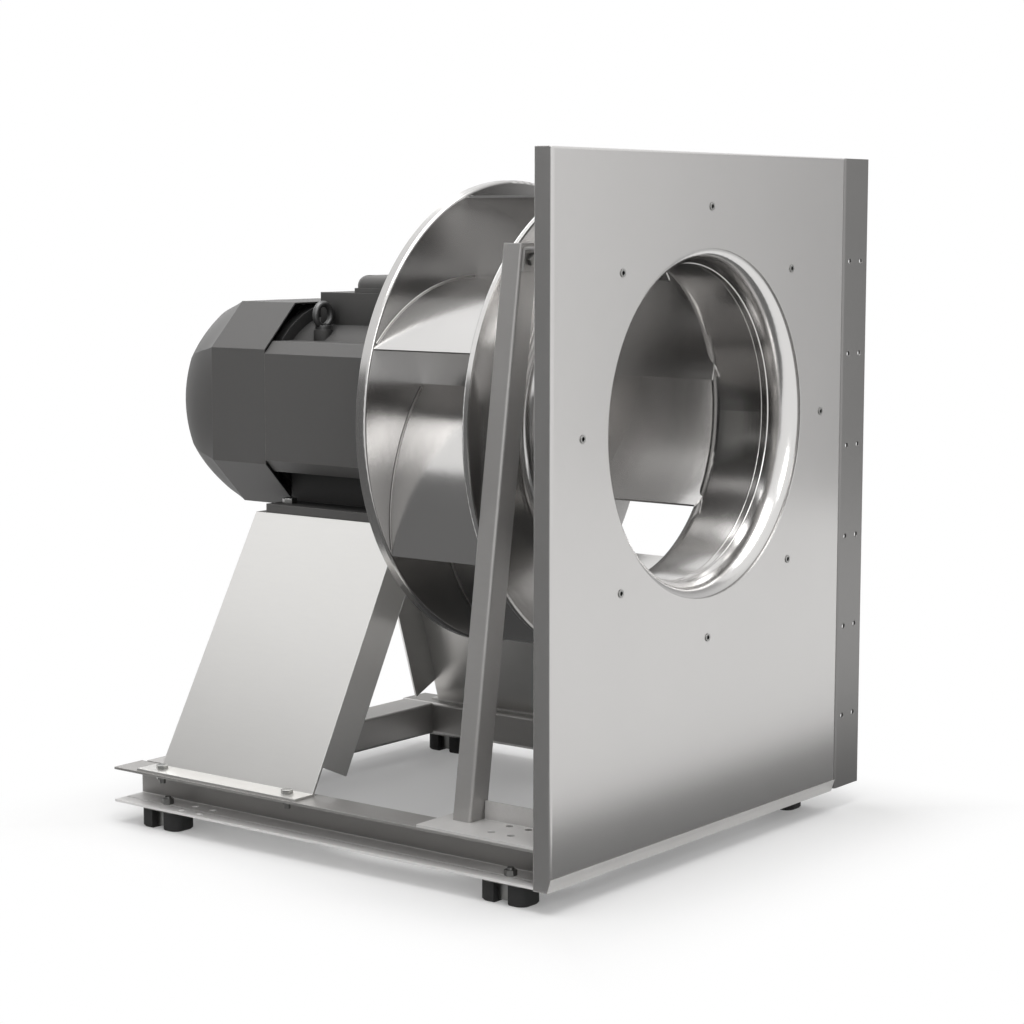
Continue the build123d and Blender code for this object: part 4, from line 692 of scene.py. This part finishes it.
# %% [markdown]
# ## Hem along the plate's lower edge
# The lower edge of the front plate ends in a narrow lip that leans back, so that water drips off. A
# hem closes the lip with a thin strip of brighter zinc sheet. It could be a cut of the plate itself,
# but its finish differs, so it is a piece of its own: a flat bar whose lower face is pushed back.

# %% The hem
HEM_TOP = -0.4711
HEM_SHEET = 0.0008
HEM_SETBACK = 0.0050
HEM_ROUNDING = 0.00025
HEM_END_GAP = 0.0005
plate_low, plate_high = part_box("front_plate")
hem_low = plate_low[2]
bpy.ops.object.select_all(action="DESELECT")
bpy.ops.mesh.primitive_cube_add(
    size=1.0,
    location=((plate_low[0] + plate_high[0]) / 2, -HEM_SHEET / 2, (HEM_TOP + hem_low) / 2),
    scale=(plate_high[0] - plate_low[0] - 2 * HEM_END_GAP, HEM_SHEET, HEM_TOP - hem_low),
)
plate_hem = start_piece("plate_hem")
pick_faces(plate_hem, lambda middle: middle.z < hem_low + 0.001)
bpy.ops.transform.translate(value=(0.0, HEM_SETBACK, 0.0))
soften(plate_hem, HEM_ROUNDING)
dress(plate_hem, hem_zinc, "frame")

# %% [markdown]
# ## Rolled rings of the nozzle and of the wheel's eye
# The nozzle's tube is stiffened by a rolled bead where the flare ends, and its free end is curled.
# The wheel's eye has the same curl. They catch the light as thin lines. A small round profile is
# spun once round the shaft axis, which is how the roller makes them.

# %% The rings
def rolled_ring(name, radius, depth, half_width, material, body):
    """A bead of round section at a radius and a depth behind the plate's face."""
    bpy.ops.object.select_all(action="DESELECT")
    bpy.ops.mesh.primitive_circle_add(
        vertices=10, radius=half_width, fill_type="NOTHING", location=(radius, depth, 0.0)
    )
    ring = start_piece(name)
    bpy.ops.object.mode_set(mode="EDIT")
    bpy.ops.mesh.select_all(action="SELECT")
    bpy.ops.mesh.spin(steps=160, angle=math.tau, center=(0.0, 0.0, 0.0), axis=(0.0, 1.0, 0.0))
    close_spin()
    bpy.ops.object.shade_smooth()
    dress(ring, material, body)


rolled_ring("throat_bead", 0.1844, 0.0364, 0.0016, nozzle_steel, "frame")
rolled_ring("nozzle_curl", 0.1850, 0.0452, 0.0014, nozzle_steel, "frame")
rolled_ring("eye_curl", 0.1908, 0.0374, 0.0017, wheel_steel, "rotor")

# %% [markdown]
# ## Weld seams of the blades
# Each blade is welded to the back plate along its foot. A seam is a low bead in the corner between
# the two. The blade is an arc of a circle in plan, so one short round profile is spun about the
# centre of that circle. The other six seams are copies of the first, turned round the shaft.

# %% The seams
BLADE_COUNT = 7
BLADE_BULGE = 0.0225  # how far the arc stands out from its chord
SEAM_RADIUS = 0.0012
SEAM_OFFSET = 0.0004  # from the blade's middle line, and from the back plate
SEAM_START = 0.02  # radians left bare at the blade's leading edge
SEAM_BARE = 0.05  # radians left bare in all


def plan_point(distance, degrees):
    """A point of the wheel's plan, with X to the right and Z up."""
    angle = math.radians(degrees)
    return Vector((distance * math.cos(angle), distance * math.sin(angle)))


def turn_from(centre, x, z):
    """The direction from the centre to a point of the plan, in radians."""
    return math.atan2(z - centre.y, x - centre.x)


root_point = plan_point(0.182, 166.0)
tip_point = plan_point(0.2778, 213.0)
chord = tip_point - root_point
bend_radius = (chord.length ** 2 / 4 + BLADE_BULGE ** 2) / (2 * BLADE_BULGE)
outward = Vector((chord.y, -chord.x)).normalized()
bend_centre = (root_point + tip_point) / 2 - outward * (bend_radius - BLADE_BULGE)
root_turn = turn_from(bend_centre, root_point.x, root_point.y)
tip_turn = turn_from(bend_centre, tip_point.x, tip_point.y) % math.tau
seam_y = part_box("impeller_back_plate")[0][1]
bend_pivot = (bend_centre.x, seam_y, bend_centre.y)
seam_steel = finish(
    "seam_steel", (0.40, 0.39, 0.38), (0.6, 0.6, 0.58), metallic=1.0, roughness=0.38,
    grain_set=(EVEN, 0.20, 0.10, 0.30), edge_set=(0.0004, 0.4, 90.0), bump=0.3,
    painted_shade_set=(0.02, 0.3),
)
bpy.ops.object.select_all(action="DESELECT")
bpy.ops.mesh.primitive_circle_add(
    vertices=8, radius=SEAM_RADIUS, fill_type="NGON",
    location=(bend_centre.x + bend_radius + SEAM_OFFSET, seam_y - SEAM_OFFSET, bend_centre.y),
)
first_seam = start_piece("blade_seam_1")
bpy.ops.object.mode_set(mode="EDIT")
bpy.ops.mesh.select_all(action="SELECT")
bpy.ops.transform.rotate(
    value=root_turn + SEAM_START, orient_axis="Y", center_override=bend_pivot
)
bpy.ops.mesh.spin(
    steps=24, angle=tip_turn - root_turn - SEAM_BARE, center=bend_pivot, axis=(0.0, 1.0, 0.0)
)
close_spin()
bpy.ops.object.shade_smooth_by_angle(angle=math.radians(50.0))
covered = [
    math.degrees(turn_from(bend_centre, vertex.co.x, vertex.co.z) % math.tau)
    for vertex in first_seam.data.vertices
]
print("seam covers", round(min(covered), 1), "to", round(max(covered), 1))
dress(first_seam, seam_steel, "rotor")
for number in range(1, BLADE_COUNT):
    seam = first_seam.copy()
    seam.data = first_seam.data.copy()
    seam.name = f"blade_seam_{number + 1}"
    seam.data.name = seam.name
    bpy.context.collection.objects.link(seam)
    seam.data.transform(Matrix.Rotation(-number * math.tau / BLADE_COUNT, 4, "Y"))
    dress(seam, seam_steel, "rotor")

# %% [markdown]
# ## The floor
# A pale floor carries the fan. To a camera ray, a mirrored ray or a ray through glass it glows white
# far from the fan, so no horizon shows. Close to the fan it is mostly its own lit surface, so the
# shadow stays.

# %% The floor
FAN_MIDDLE = (0.0, 0.33, 0.0)
FAN_HALF_WIDTH, FAN_HALF_DEPTH = 0.33, 0.36
NEAR_GLOW = 0.2  # the share of the glow under the fan
floor_z = cad_box[0][2]
bpy.ops.mesh.primitive_plane_add(size=14.0, location=(0.0, 0.3, floor_z))
floor = bpy.context.object
floor.name = "floor"
bpy.ops.object.transform_apply(location=True, rotation=True, scale=True)
floor_paint = empty_material("floor_paint")
ground = floor_paint.node_tree
matt = add_node(ground, "ShaderNodeBsdfDiffuse", {"Color": (0.86, 0.86, 0.86, 1.0)})
glow = add_node(ground, "ShaderNodeEmission", {"Color": (1.0, 1.0, 1.0, 1.0), "Strength": 1.0})
floor_spot = add_node(ground, "ShaderNodeTexCoord")
moved = add_node(
    ground, "ShaderNodeVectorMath", {"operation": "SUBTRACT", 1: FAN_MIDDLE},
    {0: floor_spot.outputs["Object"]},
)
scaled = add_node(
    ground, "ShaderNodeVectorMath",
    {"operation": "MULTIPLY", 1: (1 / FAN_HALF_WIDTH, 1 / FAN_HALF_DEPTH, 0.0)},
    {0: moved.outputs[0]},
)
size = add_node(ground, "ShaderNodeVectorMath", {"operation": "ABSOLUTE"}, {0: scaled.outputs[0]})
sides = add_node(ground, "ShaderNodeSeparateXYZ", None, {"Vector": size.outputs[0]})
ratio = add_node(
    ground, "ShaderNodeMath", {"operation": "MAXIMUM"},
    {0: sides.outputs["X"], 1: sides.outputs["Y"]},
)
fade = add_node(
    ground, "ShaderNodeMapRange",
    {"interpolation_type": "SMOOTHSTEP", "From Min": 0.9, "From Max": 1.55, "To Min": NEAR_GLOW},
    {"Value": ratio.outputs[0]},
)
share = add_node(
    ground, "ShaderNodeMath", {"operation": "MULTIPLY"},
    {0: seen_directly(ground), 1: fade.outputs[0]},
)
both = add_node(
    ground, "ShaderNodeMixShader", None,
    {"Fac": share.outputs[0], 1: matt.outputs[0], 2: glow.outputs[0]},
)
add_node(ground, "ShaderNodeOutputMaterial", None, {"Surface": both.outputs[0]})
floor.data.materials.append(floor_paint)
print("floor at", floor_z)

# %% [markdown]
# ## Cards for the mirrored rays
# Bright sheet metal is drawn by what it mirrors. A photographer hangs cards beside the set so that
# upright faces turn darker than those that look up. Five of these are dark or black. The one on the
# right fades from grey to white, and with it the plate's tone changes from one side to the other.
# Only mirrored rays meet the cards: they throw no shadow, and the camera doesn't see them.

# %% The cards
FADE_FROM_Y, FADE_TO_Y = -0.1, -1.1


def card_paper(name, near_grey, far_grey):
    """A paper that shows mirrored rays one grey near the fan and fades to another along Y."""
    paper = empty_material(name)
    leaf = paper.node_tree
    leaf_spot = add_node(leaf, "ShaderNodeTexCoord")
    along = add_node(leaf, "ShaderNodeSeparateXYZ", None, {"Vector": leaf_spot.outputs["Object"]})
    grey = add_node(
        leaf, "ShaderNodeMapRange",
        {"From Min": FADE_FROM_Y, "From Max": FADE_TO_Y, "To Min": near_grey, "To Max": far_grey},
        {"Value": along.outputs["Y"]},
    )
    tint = add_node(leaf, "ShaderNodeEmission", {"Strength": 1.0}, {"Color": grey.outputs[0]})
    add_node(leaf, "ShaderNodeOutputMaterial", None, {"Surface": tint.outputs[0]})
    return paper


def card(name, paper, place, aim, width, height):
    """A card at place that faces aim and that only mirrored rays meet."""
    bpy.ops.object.select_all(action="DESELECT")
    bpy.ops.mesh.primitive_plane_add(size=1.0, location=place)
    made = bpy.context.object
    made.name = name
    made.scale = (width, height, 1.0)
    made.rotation_euler = (Vector(aim) - Vector(place)).to_track_quat("Z", "Y").to_euler()
    bpy.ops.object.transform_apply(location=True, rotation=True, scale=True)
    made.data.materials.append(paper)
    made.visible_camera = False
    made.visible_diffuse = False
    made.visible_shadow = False
    made.visible_transmission = False
    return made


def flat_card(name, paper, x, y, lift, width, height):
    """A card that lies just above the floor and faces up."""
    return card(name, paper, (x, y, floor_z + lift), (x, y, 2.0), width, height)


dark_paper = card_paper("dark_paper", 0.17, 0.17)
black_paper = card_paper("black_paper", 0.07, 0.07)
fading_paper = card_paper("fading_paper", 0.40, 1.0)
cards = [
    card("left_card", dark_paper, (-3.2, 1.8, 0.1), (0.0, 0.2, -0.15), 5.0, 1.9),
    card("back_card", black_paper, (2.4, 2.2, -0.1), (0.2, 0.4, -0.1), 3.5, 1.7),
    card("right_card", fading_paper, (0.95, -0.60, 0.32), (0.0, -0.60, 0.32), 1.12, 1.05),
    flat_card("low_card", dark_paper, 0.3, -0.13, 0.002, 1.8, 0.22),
    flat_card("side_card", dark_paper, -1.85, 1.35, 0.003, 3.0, 3.3),
    flat_card("under_card", black_paper, 0.0, 0.33, 0.004, 0.48, 0.60),
]
print("cards:", [made.name for made in cards])
